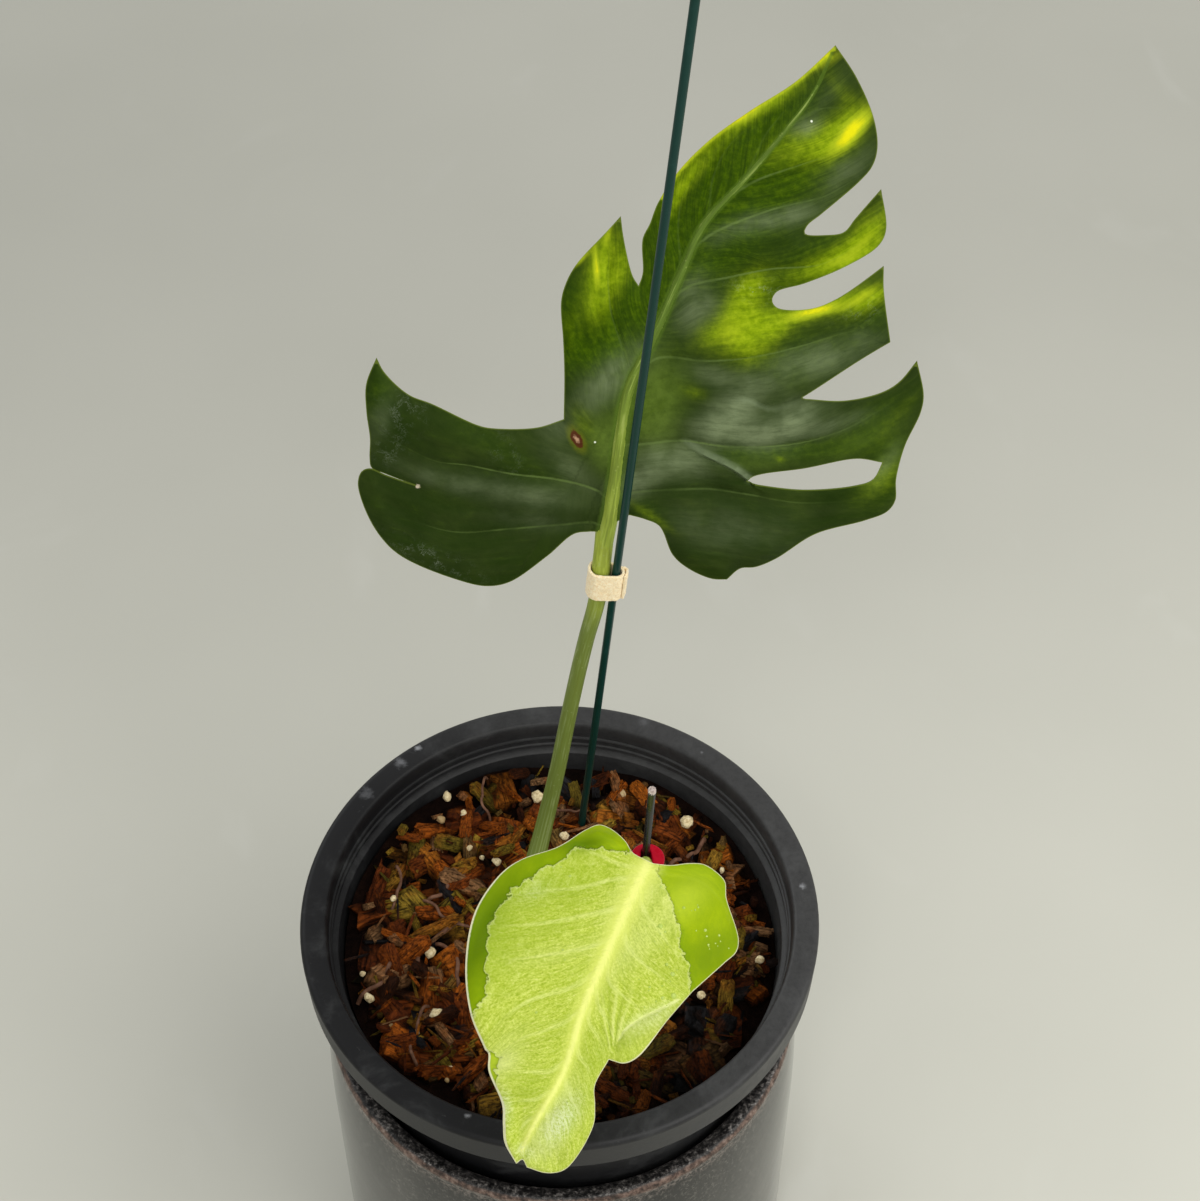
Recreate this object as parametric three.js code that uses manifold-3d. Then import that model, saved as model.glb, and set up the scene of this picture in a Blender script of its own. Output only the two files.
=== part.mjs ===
import * as THREE from 'three';
import { mergeVertices } from 'three/addons/utils/BufferGeometryUtils.js';
import Module from 'manifold-3d';

// A young monstera in a black grower's pot that stands in a glazed cover pot.
// Millimetres, +Z up. The origin is the centre of the cover pot's underside.
// The viewer stands at -Y and looks down on the plant, with +X on the right.

// Driving dimensions
const seatGap = 0.3;                 // air between pieces that touch
const coverRadius = 86.5;
const coverHeight = 164;
const coverWall = 7;
const coverFloor = 12;
const potRimRadius = 90;
const potHeight = 202;
const potFootRadius = 60;
const potNeckRadius = 79;            // outside of the wall just below the ledge
const potWall = 1.5;
const rimSkirt = 14;                 // how far the rim's outer skirt hangs down
const soilDepth = 23;                // packed surface below the top of the rim
const stemRadius = 9;
const stemTop = -17;                 // heights of the plant count from the top of the rim
const stemBottom = -62;
const stakeDiameter = 3;
const stakeLength = 500;
const rodDiameter = 2.5;
const rodLength = 198;
const bladeThickness = 0.9;
const youngBladeThickness = 0.8;
const roundSides = 48;               // sides of the two pots

const rimTop = coverFloor + seatGap + potHeight;

const wasm = await Module();
wasm.setup();

// The same draws each time, from a small linear congruential generator.
function seededRandom(seed) {
  let state = seed;
  return (low = 0, high = 1) => {
    state = (state * 1664525 + 1013904223) % 4294967296;
    return low + (high - low) * state / 4294967296;
  };
}

// Turns a closed geometry into a solid that can be joined and cut.
function toSolid(geometry) {
  const bare = geometry.clone();
  bare.deleteAttribute('normal');
  bare.deleteAttribute('uv');
  const merged = mergeVertices(bare, 1e-4);
  return new wasm.Manifold(new wasm.Mesh({
    numProp: 3,
    vertProperties: new Float32Array(merged.attributes.position.array),
    triVerts: new Uint32Array(merged.index.array),
  }));
}

// The largest body of a solid, without loose scraps and sealed hollows.
function toGeometry(solid) {
  const bodies = solid.decompose();
  const largest = bodies.reduce((best, body) => (body.volume() > best.volume() ? body : best));
  const mesh = largest.getMesh();
  const geometry = new THREE.BufferGeometry();
  geometry.setAttribute('position', new THREE.BufferAttribute(new Float32Array(mesh.vertProperties), 3));
  geometry.setIndex(new THREE.BufferAttribute(new Uint32Array(mesh.triVerts), 1));
  geometry.computeVertexNormals();
  return geometry;
}

// A solid of revolution round Z. The profile is [radius, height] pairs that run
// from the axis at the bottom, up the outside and down the inside to the axis.
function turned(profile, sides) {
  const points = profile.map(([radius, height]) => new THREE.Vector2(radius, height));
  const geometry = new THREE.LatheGeometry(points, sides);
  geometry.rotateX(Math.PI / 2);
  return geometry;
}

// A round bar through a list of points, with a radius at each of them.
function taperedBar(points, radii, sides, steps) {
  const curve = new THREE.CatmullRomCurve3(points, false, 'centripetal');
  const frames = curve.computeFrenetFrames(steps, false);
  const positions = [];
  for (let i = 0; i <= steps; i += 1) {
    const share = curve.getUtoTmapping(i / steps) * (points.length - 1);
    const before = Math.min(Math.floor(share), points.length - 2);
    const radius = THREE.MathUtils.lerp(radii[before], radii[before + 1], share - before);
    const centre = curve.getPointAt(i / steps);
    for (let k = 0; k < sides; k += 1) {
      const turn = 2 * Math.PI * k / sides;
      const rim = centre.clone()
        .addScaledVector(frames.normals[i], radius * Math.cos(turn))
        .addScaledVector(frames.binormals[i], radius * Math.sin(turn));
      positions.push(rim.x, rim.y, rim.z);
    }
  }
  const index = [];
  for (let i = 0; i < steps; i += 1) {
    for (let k = 0; k < sides; k += 1) {
      const next = (k + 1) % sides;
      const [a, b] = [i * sides + k, i * sides + next];
      index.push(a, b, b + sides, a, b + sides, a + sides);
    }
  }
  const last = steps * sides;
  for (let k = 1; k < sides - 1; k += 1) {
    index.push(0, k + 1, k, last, last + k, last + k + 1);
  }
  const geometry = new THREE.BufferGeometry();
  geometry.setAttribute('position', new THREE.BufferAttribute(new Float32Array(positions), 3));
  geometry.setIndex(index);
  geometry.computeVertexNormals();
  return geometry;
}

// A straight wire from its foot along a direction.
function wireMesh(name, diameter, length, foot, direction, material) {
  const geometry = new THREE.CylinderGeometry(diameter / 2, diameter / 2, length, 12);
  geometry.translate(0, length / 2, 0);
  const mesh = namedMesh(name, geometry, material);
  mesh.position.copy(foot);
  mesh.quaternion.setFromUnitVectors(new THREE.Vector3(0, 1, 0), direction);
  return mesh;
}

function namedMesh(name, geometry, material) {
  const mesh = new THREE.Mesh(geometry, material);
  mesh.name = name;
  return mesh;
}

function finish(color, roughness, metalness = 0) {
  return new THREE.MeshStandardMaterial({ color, roughness, metalness });
}

// Samples smooth stretches of an outline at an even step. The stretches meet at
// the leaf's sharp points, so each sharp point is the end of one and the start of the next.
function sampleLoop(stretches, step) {
  const loop = [];
  for (const stretch of stretches) {
    const points = stretch.map(([x, y]) => new THREE.Vector3(x, y, 0));
    const curve = new THREE.CatmullRomCurve3(points, false, 'centripetal');
    const count = Math.max(1, Math.round(curve.getLength() / step));
    const spaced = curve.getSpacedPoints(count);
    spaced.pop();
    for (const point of spaced) loop.push([point.x, point.y]);
  }
  return loop;
}

function insideLoop([x, y], loop) {
  let inside = false;
  for (let i = 0, j = loop.length - 1; i < loop.length; j = i, i += 1) {
    const [xi, yi] = loop[i];
    const [xj, yj] = loop[j];
    if ((yi > y) !== (yj > y) && x < (xj - xi) * (y - yi) / (yj - yi) + xi) inside = !inside;
  }
  return inside;
}

function distanceToLoop([x, y], loop) {
  let least = Infinity;
  for (let i = 0; i < loop.length; i += 1) {
    const [ax, ay] = loop[i];
    const [bx, by] = loop[(i + 1) % loop.length];
    const along = ((x - ax) * (bx - ax) + (y - ay) * (by - ay)) / ((bx - ax) ** 2 + (by - ay) ** 2);
    const t = THREE.MathUtils.clamp(along, 0, 1);
    least = Math.min(least, Math.hypot(x - ax - t * (bx - ax), y - ay - t * (by - ay)));
  }
  return least;
}

// Delaunay triangles of a set of points: each new point opens the triangles whose
// circle holds it and is joined to the edge of that opening.
function delaunay(points) {
  const far = 1e4;
  const all = [...points, [-far, -far], [far, -far], [0, far]];
  const circle = (a, b, c) => {
    const [[ax, ay], [bx, by], [cx, cy]] = [all[a], all[b], all[c]];
    const d = 2 * (ax * (by - cy) + bx * (cy - ay) + cx * (ay - by));
    const [a2, b2, c2] = [ax * ax + ay * ay, bx * bx + by * by, cx * cx + cy * cy];
    const x = (a2 * (by - cy) + b2 * (cy - ay) + c2 * (ay - by)) / d;
    const y = (a2 * (cx - bx) + b2 * (ax - cx) + c2 * (bx - ax)) / d;
    return { corners: [a, b, c], x, y, r2: (ax - x) ** 2 + (ay - y) ** 2 };
  };
  const n = points.length;
  let triangles = [circle(n, n + 1, n + 2)];
  for (let i = 0; i < n; i += 1) {
    const [x, y] = points[i];
    const edges = new Map();
    const kept = [];
    for (const triangle of triangles) {
      if ((x - triangle.x) ** 2 + (y - triangle.y) ** 2 >= triangle.r2) {
        kept.push(triangle);
        continue;
      }
      const [a, b, c] = triangle.corners;
      for (const [p, q] of [[a, b], [b, c], [c, a]]) {
        if (!edges.delete(`${q},${p}`)) edges.set(`${p},${q}`, [p, q]);
      }
    }
    for (const [p, q] of edges.values()) kept.push(circle(p, q, i));
    triangles = kept;
  }
  return triangles.map((triangle) => triangle.corners).filter((t) => Math.max(...t) < n);
}

// Splits a leaf's outline and holes into triangles, with rows of points inside.
function leafTriangles(loops, spacing, random) {
  const [outline, ...holes] = loops;
  const inside = (p) => insideLoop(p, outline) && !holes.some((hole) => insideLoop(p, hole));
  const xs = outline.map((p) => p[0]);
  const ys = outline.map((p) => p[1]);
  const inner = [];
  let row = 0;
  for (let y = Math.min(...ys); y < Math.max(...ys); y += spacing * 0.866) {
    row += 1;
    for (let x = Math.min(...xs) + (row % 2) * spacing / 2; x < Math.max(...xs); x += spacing) {
      const point = [x + random(-0.2, 0.2), y + random(-0.2, 0.2)];
      if (inside(point) && loops.every((loop) => distanceToLoop(point, loop) > spacing * 0.55)) {
        inner.push(point);
      }
    }
  }
  // A stretch of edge that the triangles don't follow is halved until they do.
  let edgeLoops = loops;
  for (;;) {
    const edgePoints = edgeLoops.flat();
    const points = [...edgePoints, ...inner];
    const triangles = delaunay(points);
    const joined = new Set();
    for (const [a, b, c] of triangles) {
      for (const [p, q] of [[a, b], [b, c], [c, a]]) joined.add(`${Math.min(p, q)},${Math.max(p, q)}`);
    }
    let start = 0;
    let whole = true;
    edgeLoops = edgeLoops.map((loop) => {
      const halved = [];
      loop.forEach((point, i) => {
        const next = (i + 1) % loop.length;
        halved.push(point);
        const [p, q] = [start + i, start + next];
        if (!joined.has(`${Math.min(p, q)},${Math.max(p, q)}`)) {
          halved.push([(point[0] + loop[next][0]) / 2, (point[1] + loop[next][1]) / 2]);
          whole = false;
        }
      });
      start += loop.length;
      return halved;
    });
    if (whole) {
      const kept = triangles.filter(([a, b, c]) => inside([
        (points[a][0] + points[b][0] + points[c][0]) / 3,
        (points[a][1] + points[b][1] + points[c][1]) / 3,
      ]));
      return { points, triangles: kept };
    }
  }
}

// A thin blade: the triangles of its outline on both faces, half a thickness
// above and below a bent surface, and a narrow wall along every edge.
function bladeGeometry(loops, spacing, thickness, height, random) {
  const { points, triangles } = leafTriangles(loops, spacing, random);
  const lift = (x, y) => new THREE.Vector3(x, y, height(x, y));
  const step = 0.2;
  const positions = [];
  for (const side of [1, -1]) {
    for (const [x, y] of points) {
      const alongX = lift(x + step, y).sub(lift(x - step, y));
      const alongY = lift(x, y + step).sub(lift(x, y - step));
      const normal = alongX.cross(alongY).normalize();
      const corner = lift(x, y).addScaledVector(normal, side * thickness / 2);
      positions.push(corner.x, corner.y, corner.z);
    }
  }
  const n = points.length;
  const index = [];
  const edges = new Map();
  for (const corners of triangles) {
    const [a, b, c] = corners;
    const cross = (points[b][0] - points[a][0]) * (points[c][1] - points[a][1])
      - (points[b][1] - points[a][1]) * (points[c][0] - points[a][0]);
    const [p, q, r] = cross > 0 ? [a, b, c] : [a, c, b];
    index.push(p, q, r, p + n, r + n, q + n);
    for (const [from, to] of [[p, q], [q, r], [r, p]]) {
      if (!edges.delete(`${to},${from}`)) edges.set(`${from},${to}`, [from, to]);
    }
  }
  for (const [from, to] of edges.values()) {
    index.push(from, from + n, to + n, from, to + n, to);
  }
  const geometry = new THREE.BufferGeometry();
  geometry.setAttribute('position', new THREE.BufferAttribute(new Float32Array(positions), 3));
  geometry.setIndex(index);
  geometry.computeVertexNormals();
  return geometry;
}

// How far across the blade the midrib lies at a distance along it.
function midribAt(midrib, along) {
  const last = midrib.length - 1;
  const i = THREE.MathUtils.clamp(midrib.findIndex((p) => p[1] > along) - 1, 0, last - 1);
  const before = along >= midrib[last][1] ? last - 1 : i;
  const [x0, y0] = midrib[before];
  const [x1, y1] = midrib[before + 1];
  return THREE.MathUtils.lerp(x0, x1, THREE.MathUtils.clamp((along - y0) / (y1 - y0), 0, 1));
}

// A blade with its midrib, which lies mostly behind it and stands a little proud in front.
// The midrib may start some way behind the blade, where its stalk comes from below.
function leafGeometry(leaf, random) {
  const loops = [sampleLoop(leaf.outline, leaf.edgeStep)];
  for (const hole of leaf.holes) loops.push(sampleLoop(hole, leaf.edgeStep));
  const blade = toSolid(bladeGeometry(loops, leaf.spacing, leaf.thickness, leaf.height, random));
  const count = leaf.midrib.length - 1;
  const radii = leaf.midrib.map((p, i) => THREE.MathUtils.lerp(leaf.ribRadius, 0.4, i / count));
  const points = leaf.midrib.map(([x, y], i) => (
    new THREE.Vector3(x, y, leaf.height(x, y) + leaf.ribProud - radii[i])));
  points[0].z -= leaf.ribSink;
  points[count].y -= 2;
  const rib = toSolid(taperedBar(points, radii, 8, 2 * count));
  return toGeometry(blade.add(rib));
}

// Places a leaf: its length runs along one direction, its upper face looks along another.
function placeLeaf(mesh, base, lengthwise, upward) {
  const across = new THREE.Vector3().crossVectors(lengthwise, upward);
  mesh.quaternion.setFromRotationMatrix(new THREE.Matrix4().makeBasis(across, lengthwise, upward));
  mesh.position.copy(base);
}

const plant = new THREE.Group();
plant.position.z = rimTop;
const part = new THREE.Group();
part.add(plant);

// Cover pot: a glazed cylinder, drawn in a little at the mouth, with a lip that slopes inwards.
const coverProfile = [
  [0, 0], [coverRadius - 6, 0], [coverRadius - 2.6, 1.2], [coverRadius - 1, 5], [coverRadius, 24],
  [coverRadius, coverHeight - 50], [coverRadius - 0.8, coverHeight - 20],
  [coverRadius - 2, coverHeight - 2.6], [coverRadius - 2.6, coverHeight - 0.8],
  [coverRadius - 4, coverHeight], [coverRadius - coverWall - 1, coverHeight - 1.8],
  [coverRadius - coverWall - 2, coverHeight - 4.4],
  [coverRadius - coverWall - 1, coverHeight - 30], [coverRadius - coverWall - 1, coverFloor + 4],
  [coverRadius - coverWall - 5, coverFloor], [0, coverFloor],
];
part.add(namedMesh('cover_pot', turned(coverProfile, roundSides), finish(0x3f3d3c, 0.2)));

// Grower's pot: heights count down from the top of its rim.
const ledge = -rimSkirt;
const potProfile = [
  [0, -potHeight], [potFootRadius, -potHeight], [potFootRadius + 1.5, 2 - potHeight],
  [potNeckRadius, ledge - 1.5], [potNeckRadius + 2.6, ledge + 0.5], [potNeckRadius + 3.4, -2.2],
  [potRimRadius - 1.8, -2.6], [potRimRadius - 2, ledge], [potRimRadius - 0.6, ledge],
  [potRimRadius, -2], [potRimRadius - 0.8, -0.4], [potRimRadius - 2, 0],
  [potRimRadius - 8, 0], [potRimRadius - 9, -0.8], [potNeckRadius + 1.7, -2.2],
  [potNeckRadius + 1.5, -7.2], [potNeckRadius + 2.2, -7.6], [potNeckRadius + 1.3, -8.4],
  [potNeckRadius + 1.1, ledge + 1.2], [potNeckRadius - 1.3, ledge + 0.4],
  [potNeckRadius - potWall, ledge - 0.6], [potFootRadius + 1.5 - potWall, 3 - potHeight],
  [potFootRadius - 1, 1.8 - potHeight], [0, 1.8 - potHeight],
];
const drainCount = 8;
const drainRadius = 4;
const drainRing = 44;
let potSolid = toSolid(turned(potProfile, roundSides));
for (let i = 0; i < drainCount; i += 1) {
  const turn = 2 * Math.PI * i / drainCount;
  const drill = new THREE.CylinderGeometry(drainRadius, drainRadius, 10, 12);
  drill.rotateX(Math.PI / 2);
  drill.translate(drainRing * Math.cos(turn), drainRing * Math.sin(turn), -potHeight);
  potSolid = potSolid.subtract(toSolid(drill));
}
plant.add(namedMesh('nursery_pot', toGeometry(potSolid), finish(0x2b2b2d, 0.6)));

// Tall stake: coated wire that leans a little to the right, its foot deep in the bark.
const stakeFoot = new THREE.Vector3(-1.5, 48, -122);
const stakeDirection = new THREE.Vector3(31, 0, 372).normalize();
const stakeFinish = finish(0x193c36, 0.5);
plant.add(wireMesh('tall_stake', stakeDiameter, stakeLength, stakeFoot, stakeDirection, stakeFinish));

// Short rod for the young leaf.
const rodFoot = new THREE.Vector3(22.2, -16, -100);
const rodDirection = new THREE.Vector3(1.63, 0, 39.65).normalize();
plant.add(wireMesh('short_rod', rodDiameter, rodLength, rodFoot, rodDirection, finish(0x161617, 0.35)));

// Stem: a short stump in its own hole.
const stemCentre = new THREE.Vector3(-8, 12, 0);
const stemProfile = [
  [0, stemBottom], [stemRadius * 0.6, stemBottom], [stemRadius * 0.9, stemBottom + 6],
  [stemRadius, stemBottom + 14], [stemRadius * 0.93, stemBottom + 24], [stemRadius, stemBottom + 34],
  [stemRadius * 0.95, stemTop - 2], [stemRadius * 0.86, stemTop], [0, stemTop],
];
const stem = namedMesh('stem', turned(stemProfile, 20), finish(0x6f7a3a, 0.6));
stem.position.copy(stemCentre);
plant.add(stem);

// Substrate: a packed body that fills the pot, with bark chips and perlite sunk into its top.
const soilGap = potWall + seatGap;
const soilTop = -soilDepth;
const neckToFoot = (potNeckRadius - potFootRadius - 1.5) / (potHeight + ledge - 3.5);
const soilRadius = (z) => potNeckRadius - soilGap - neckToFoot * (ledge - 1.5 - z);
const soilFoot = 2.1 - potHeight;
const soilProfile = [
  [0, soilFoot], [potFootRadius - 3, soilFoot], [soilRadius(soilFoot + 4), soilFoot + 4],
  [soilRadius(soilTop - 1), soilTop - 1], [soilRadius(soilTop) - 6, soilTop + 0.6],
  [46, soilTop - 0.8], [22, soilTop + 0.8], [0, soilTop],
];
const chipCount = 112;
const pearlCount = 30;
const chipReach = soilRadius(soilTop) - 0.6;

function barkAndPearls(random) {
  let solid = toSolid(turned(soilProfile, 40));
  const widest = (geometry) => {
    const position = geometry.attributes.position;
    let reach = 0;
    for (let i = 0; i < position.count; i += 1) {
      reach = Math.max(reach, Math.hypot(position.getX(i), position.getY(i)));
    }
    return reach;
  };
  const place = (geometry, lift) => {
    const radius = 74 * Math.sqrt(random());
    const turn = random(0, 2 * Math.PI);
    geometry.rotateX(random(-0.45, 0.45));
    geometry.rotateY(random(-0.45, 0.45));
    geometry.rotateZ(random(0, 2 * Math.PI));
    geometry.translate(radius * Math.cos(turn), radius * Math.sin(turn), soilTop + lift);
    if (widest(geometry) < chipReach) solid = solid.add(toSolid(geometry));
  };
  for (let i = 0; i < chipCount; i += 1) {
    const chip = new THREE.BoxGeometry(random(12, 23), random(8, 13), random(3, 5));
    const corners = mergeVertices(chip.deleteAttribute('normal').deleteAttribute('uv'));
    const position = corners.attributes.position;
    for (let k = 0; k < position.count; k += 1) {
      const squeeze = random(0.62, 1.05);
      position.setXYZ(k, position.getX(k) * squeeze, position.getY(k) * squeeze, position.getZ(k));
    }
    place(corners, random(-0.6, 1.4));
  }
  for (let i = 0; i < pearlCount; i += 1) {
    place(new THREE.IcosahedronGeometry(random(1.7, 2.6), 0), random(1, 2.6));
  }
  return solid;
}

// A plain hole for a wire or stem that stands in the substrate.
function wireHole(diameter, length, foot, direction) {
  const radius = diameter / 2 + seatGap;
  const drill = new THREE.CylinderGeometry(radius, radius, length + seatGap, 12);
  drill.translate(0, (length - seatGap) / 2, 0);
  drill.applyQuaternion(new THREE.Quaternion().setFromUnitVectors(new THREE.Vector3(0, 1, 0), direction));
  drill.translate(foot.x, foot.y, foot.z);
  return toSolid(drill);
}

const upright = new THREE.Vector3(0, 0, 1);
const stemFoot = stemCentre.clone().setZ(stemBottom);
const soilSolid = barkAndPearls(seededRandom(7))
  .subtract(wireHole(stakeDiameter, 130, stakeFoot, stakeDirection))
  .subtract(wireHole(rodDiameter, 110, rodFoot, rodDirection))
  .subtract(wireHole(2 * stemRadius + 0.6, 60, stemFoot, upright));
plant.add(namedMesh('substrate', toGeometry(soilSolid), finish(0x6b3a20, 0.9)));

// Tall leaf, drawn in its own frame: x across to the right, y along from the stalk, in millimetres.
const tallOutline = [
  [[5.5, 5.5], [2.6, 1], [0.4, -3.4], [-3, -5]],
  [[-3, -5], [-7.5, -8], [-12, -19], [-19, -32.5], [-25, -37], [-34, -39], [-54, -39.5], [-62.5, -36.5],
    [-70.5, -30.5], [-76, -23.5], [-76.5, -19], [-74.5, -16.8], [-69.5, -16.5], [-58, -15]],
  [[-58, -15], [-64, -14.6], [-73, -15], [-78.5, -7], [-83, 1], [-86.5, 9], [-87, 18]],
  [[-87, 18], [-83, 15], [-73.5, 12], [-65.5, 12.5], [-50, 12.5], [-45.5, 13.5], [-33, 19.5], [-26.5, 25.5]],
  [[-26.5, 25.5], [-32.5, 39], [-37.5, 49], [-43, 59.5], [-44, 65], [-43.5, 71.5], [-39.5, 84],
    [-37.5, 90.5]],
  [[-37.5, 90.5], [-34, 85], [-26.5, 75.5], [-23.5, 73.5]],
  [[-23.5, 73.5], [-24, 77.5], [-28.5, 87], [-28.5, 92], [-29, 98.5], [-27.5, 109.5], [-23, 121.5],
    [-15.5, 134.5], [-6.5, 148], [0, 162.5]],
  [[0, 162.5], [9.5, 157], [19.5, 148.5], [24.5, 141], [25.5, 135.5], [24, 130], [17.5, 116.5],
    [15, 111.5], [15.3, 109.2], [21.5, 111.5], [26, 114.5], [27.5, 119.5], [31, 130.5]],
  [[31, 130.5], [37.5, 120.5], [37.5, 115.5], [31, 105.5], [22, 95.5], [15.5, 89.5], [15.5, 86.5],
    [18, 85.2], [27, 89], [32.5, 94.5], [41.5, 110.5]],
  [[41.5, 110.5], [44.5, 104.5], [54.5, 90]],
  [[54.5, 90], [47.5, 79.5], [37, 63.5]],
  [[37, 63.5], [49.5, 68], [59.5, 75], [63, 80], [65, 88]],
  [[65, 88], [72, 79], [73.5, 74], [73.5, 62.5], [76, 52], [79.5, 45], [79, 40.5], [74, 35], [61, 24.5],
    [53, 12.5], [48.5, 7.5], [44.5, 5], [42.5, -0.5]],
  [[42.5, -0.5], [38, -2.5], [29.5, -2.5], [23.5, -0.5], [15.5, 6.5], [10.5, 6.5], [5.5, 5.5]],
];
const tallHole = [
  [[34, 31.5], [34.5, 33.5], [48, 43], [61.5, 53], [69.5, 55]],
  [[69.5, 55], [69.5, 48.5], [65.5, 44.5], [51.5, 36.5], [38, 32.2], [34, 31.5]],
];
const tallMidrib = [[1.7, -5.5], [0, 0], [-4.5, 14.5], [-9, 29], [-12.5, 43.5], [-12.5, 62], [-13.5, 87.5],
  [-13.5, 98.5], [-8.5, 114.5], [-4, 130], [0, 148], [0, 162.5]];

// The halves rise from the midrib and droop again outside, and the length is arched.
function tallHeight(x, y) {
  const out = x - midribAt(tallMidrib, y);
  const fold = 0.12 * (Math.hypot(out, 6) - 6);
  const droop = -0.0016 * out * out;
  const arch = 0.0011 * (3600 - (y - 60) ** 2);
  const phase = out > 0 ? 0.6 : 1.3;
  const wave = 1.6 * Math.min(1, Math.abs(out) / 50) * Math.sin(y / 8 + phase);
  return fold + droop + arch + wave;
}

const tallLeaf = {
  outline: tallOutline, holes: [tallHole], midrib: tallMidrib, height: tallHeight,
  edgeStep: 5, spacing: 9.5, thickness: bladeThickness, ribRadius: 3, ribProud: 0.8, ribSink: 0,
};
const tallLean = THREE.MathUtils.degToRad(32);    // the blade leans back from upright
const tallSlant = THREE.MathUtils.degToRad(25);   // and its length slants to the right
const tallBase = new THREE.Vector3(16, 55, 143);
const tallUp = new THREE.Vector3(0, -Math.cos(tallLean), Math.sin(tallLean));
const tallAlong = new THREE.Vector3(
  Math.sin(tallSlant),
  Math.sin(tallLean) * Math.cos(tallSlant),
  Math.cos(tallLean) * Math.cos(tallSlant),
);
const mainLeaf = namedMesh('main_leaf', leafGeometry(tallLeaf, seededRandom(3)), finish(0x2f5a1c, 0.4));
placeLeaf(mainLeaf, tallBase, tallAlong, tallUp);
plant.add(mainLeaf);

// Young leaf, in its own frame in the same way.
const youngOutline = [
  [[-1.5, 0.2], [0.5, 0]],
  [[0.5, 0], [5.5, -1.5], [9, -4.8], [14.5, -7], [18.5, -7], [22, -4], [28.5, 4], [38.5, 12],
    [43, 18.5], [46.5, 32], [44, 48], [37.5, 62], [29, 71.5]],
  [[29, 71.5], [26.5, 76.5], [18, 85.5], [16, 91], [11, 99], [7, 100.5]],
  [[7, 100.5], [-1, 100], [-5.5, 97.5], [-8, 92], [-9.5, 81.5], [-8, 76], [-6, 70.5], [-7.5, 61.5]],
  [[-7.5, 61.5], [-12.5, 61], [-16, 57.5], [-21, 44], [-25.5, 33.5]],
  [[-25.5, 33.5], [-32.5, 21.5], [-35, 17], [-34.5, 13], [-27, 2], [-25, -3], [-21.5, -5], [-17, -6],
    [-12.5, -4.8], [-7, -1.8], [-4, 1.2], [-1.5, 0.2]],
];
const youngMidrib = [[1, 6], [1.5, 11], [3.5, 30.5], [5, 49], [4.5, 70], [8.5, 88.5], [8.5, 98]];

function youngHeight(x, y) {
  const out = x - midribAt(youngMidrib, y);
  const fold = 0.10 * (Math.hypot(out, 5) - 5);
  const droop = -0.0035 * out * out;
  const arch = 6 * (1 - ((y - 48) / 48) ** 2);
  return fold + droop + arch;
}

const youngLeaf = {
  outline: youngOutline, holes: [], midrib: youngMidrib, height: youngHeight,
  edgeStep: 4.4, spacing: 8.5, thickness: youngBladeThickness, ribRadius: 2, ribProud: 0.9, ribSink: 4.5,
};
const youngBase = new THREE.Vector3(29, -30, 76);
const youngTip = new THREE.Vector3(-3, -114, 33);
const youngAlong = youngTip.clone().sub(youngBase).normalize();
const towardsViewer = new THREE.Vector3(0, -0.632, 0.775);
const youngUp = towardsViewer.addScaledVector(youngAlong, -towardsViewer.dot(youngAlong)).normalize();
const newLeaf = namedMesh('new_leaf', leafGeometry(youngLeaf, seededRandom(5)), finish(0xb9cf5c, 0.4));
placeLeaf(newLeaf, youngBase, youngAlong, youngUp);
plant.add(newLeaf);

// Each stalk ends just short of its leaf's midrib, in line with it.
function stalkEnd(mesh, leaf) {
  const lift = leaf.ribProud - leaf.ribRadius;
  const point = ([x, y]) => new THREE.Vector3(x, y, leaf.height(x, y) + lift);
  const start = point(leaf.midrib[0]);
  start.z -= leaf.ribSink;
  const inward = point(leaf.midrib[1]).sub(start).normalize();
  mesh.updateMatrix();
  const at = (distance) => start.clone().addScaledVector(inward, -distance).applyMatrix4(mesh.matrix);
  return { end: at(seatGap), before: at(6) };
}

const mainJoin = stalkEnd(mainLeaf, tallLeaf);
const mainStalk = [
  new THREE.Vector3(-11.4, 15.4, stemTop + seatGap), new THREE.Vector3(-11.4, 15.5, stemTop + 3),
  new THREE.Vector3(-9.8, 20, -6), new THREE.Vector3(-6, 29, 8), new THREE.Vector3(-1.2, 36, 31),
  new THREE.Vector3(4.5, 43, 65), new THREE.Vector3(9.4, 47, 93), new THREE.Vector3(13.1, 48.9, 112),
  new THREE.Vector3(13.9, 49, 121.5), new THREE.Vector3(14.5, 49.4, 128.5), mainJoin.before, mainJoin.end,
];
const mainRadii = [4, 4, 3.7, 3.1, 2.8, 2.75, 2.8, 3, 3, 3, 3, 3];
plant.add(namedMesh('main_petiole', taperedBar(mainStalk, mainRadii, 10, 22), finish(0x5f7d33, 0.45)));

const newJoin = stalkEnd(newLeaf, youngLeaf);
const newStalk = [
  new THREE.Vector3(-4.6, 8.6, stemTop + seatGap), new THREE.Vector3(-4.6, 8.5, stemTop + 3),
  new THREE.Vector3(-1, 5, -4), new THREE.Vector3(12, -8, 22), new THREE.Vector3(24, -18, 44),
  new THREE.Vector3(27.9, -20, 52), new THREE.Vector3(28.5, -20.4, 56), new THREE.Vector3(28.7, -20.5, 60),
  new THREE.Vector3(28.6, -21.2, 63.6), newJoin.before, newJoin.end,
];
const newRadii = [3, 3, 2.8, 2.3, 2.1, 2, 2, 2, 2, 2, 2];
plant.add(namedMesh('new_petiole', taperedBar(newStalk, newRadii, 8, 26), finish(0x9db84a, 0.45)));

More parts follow.
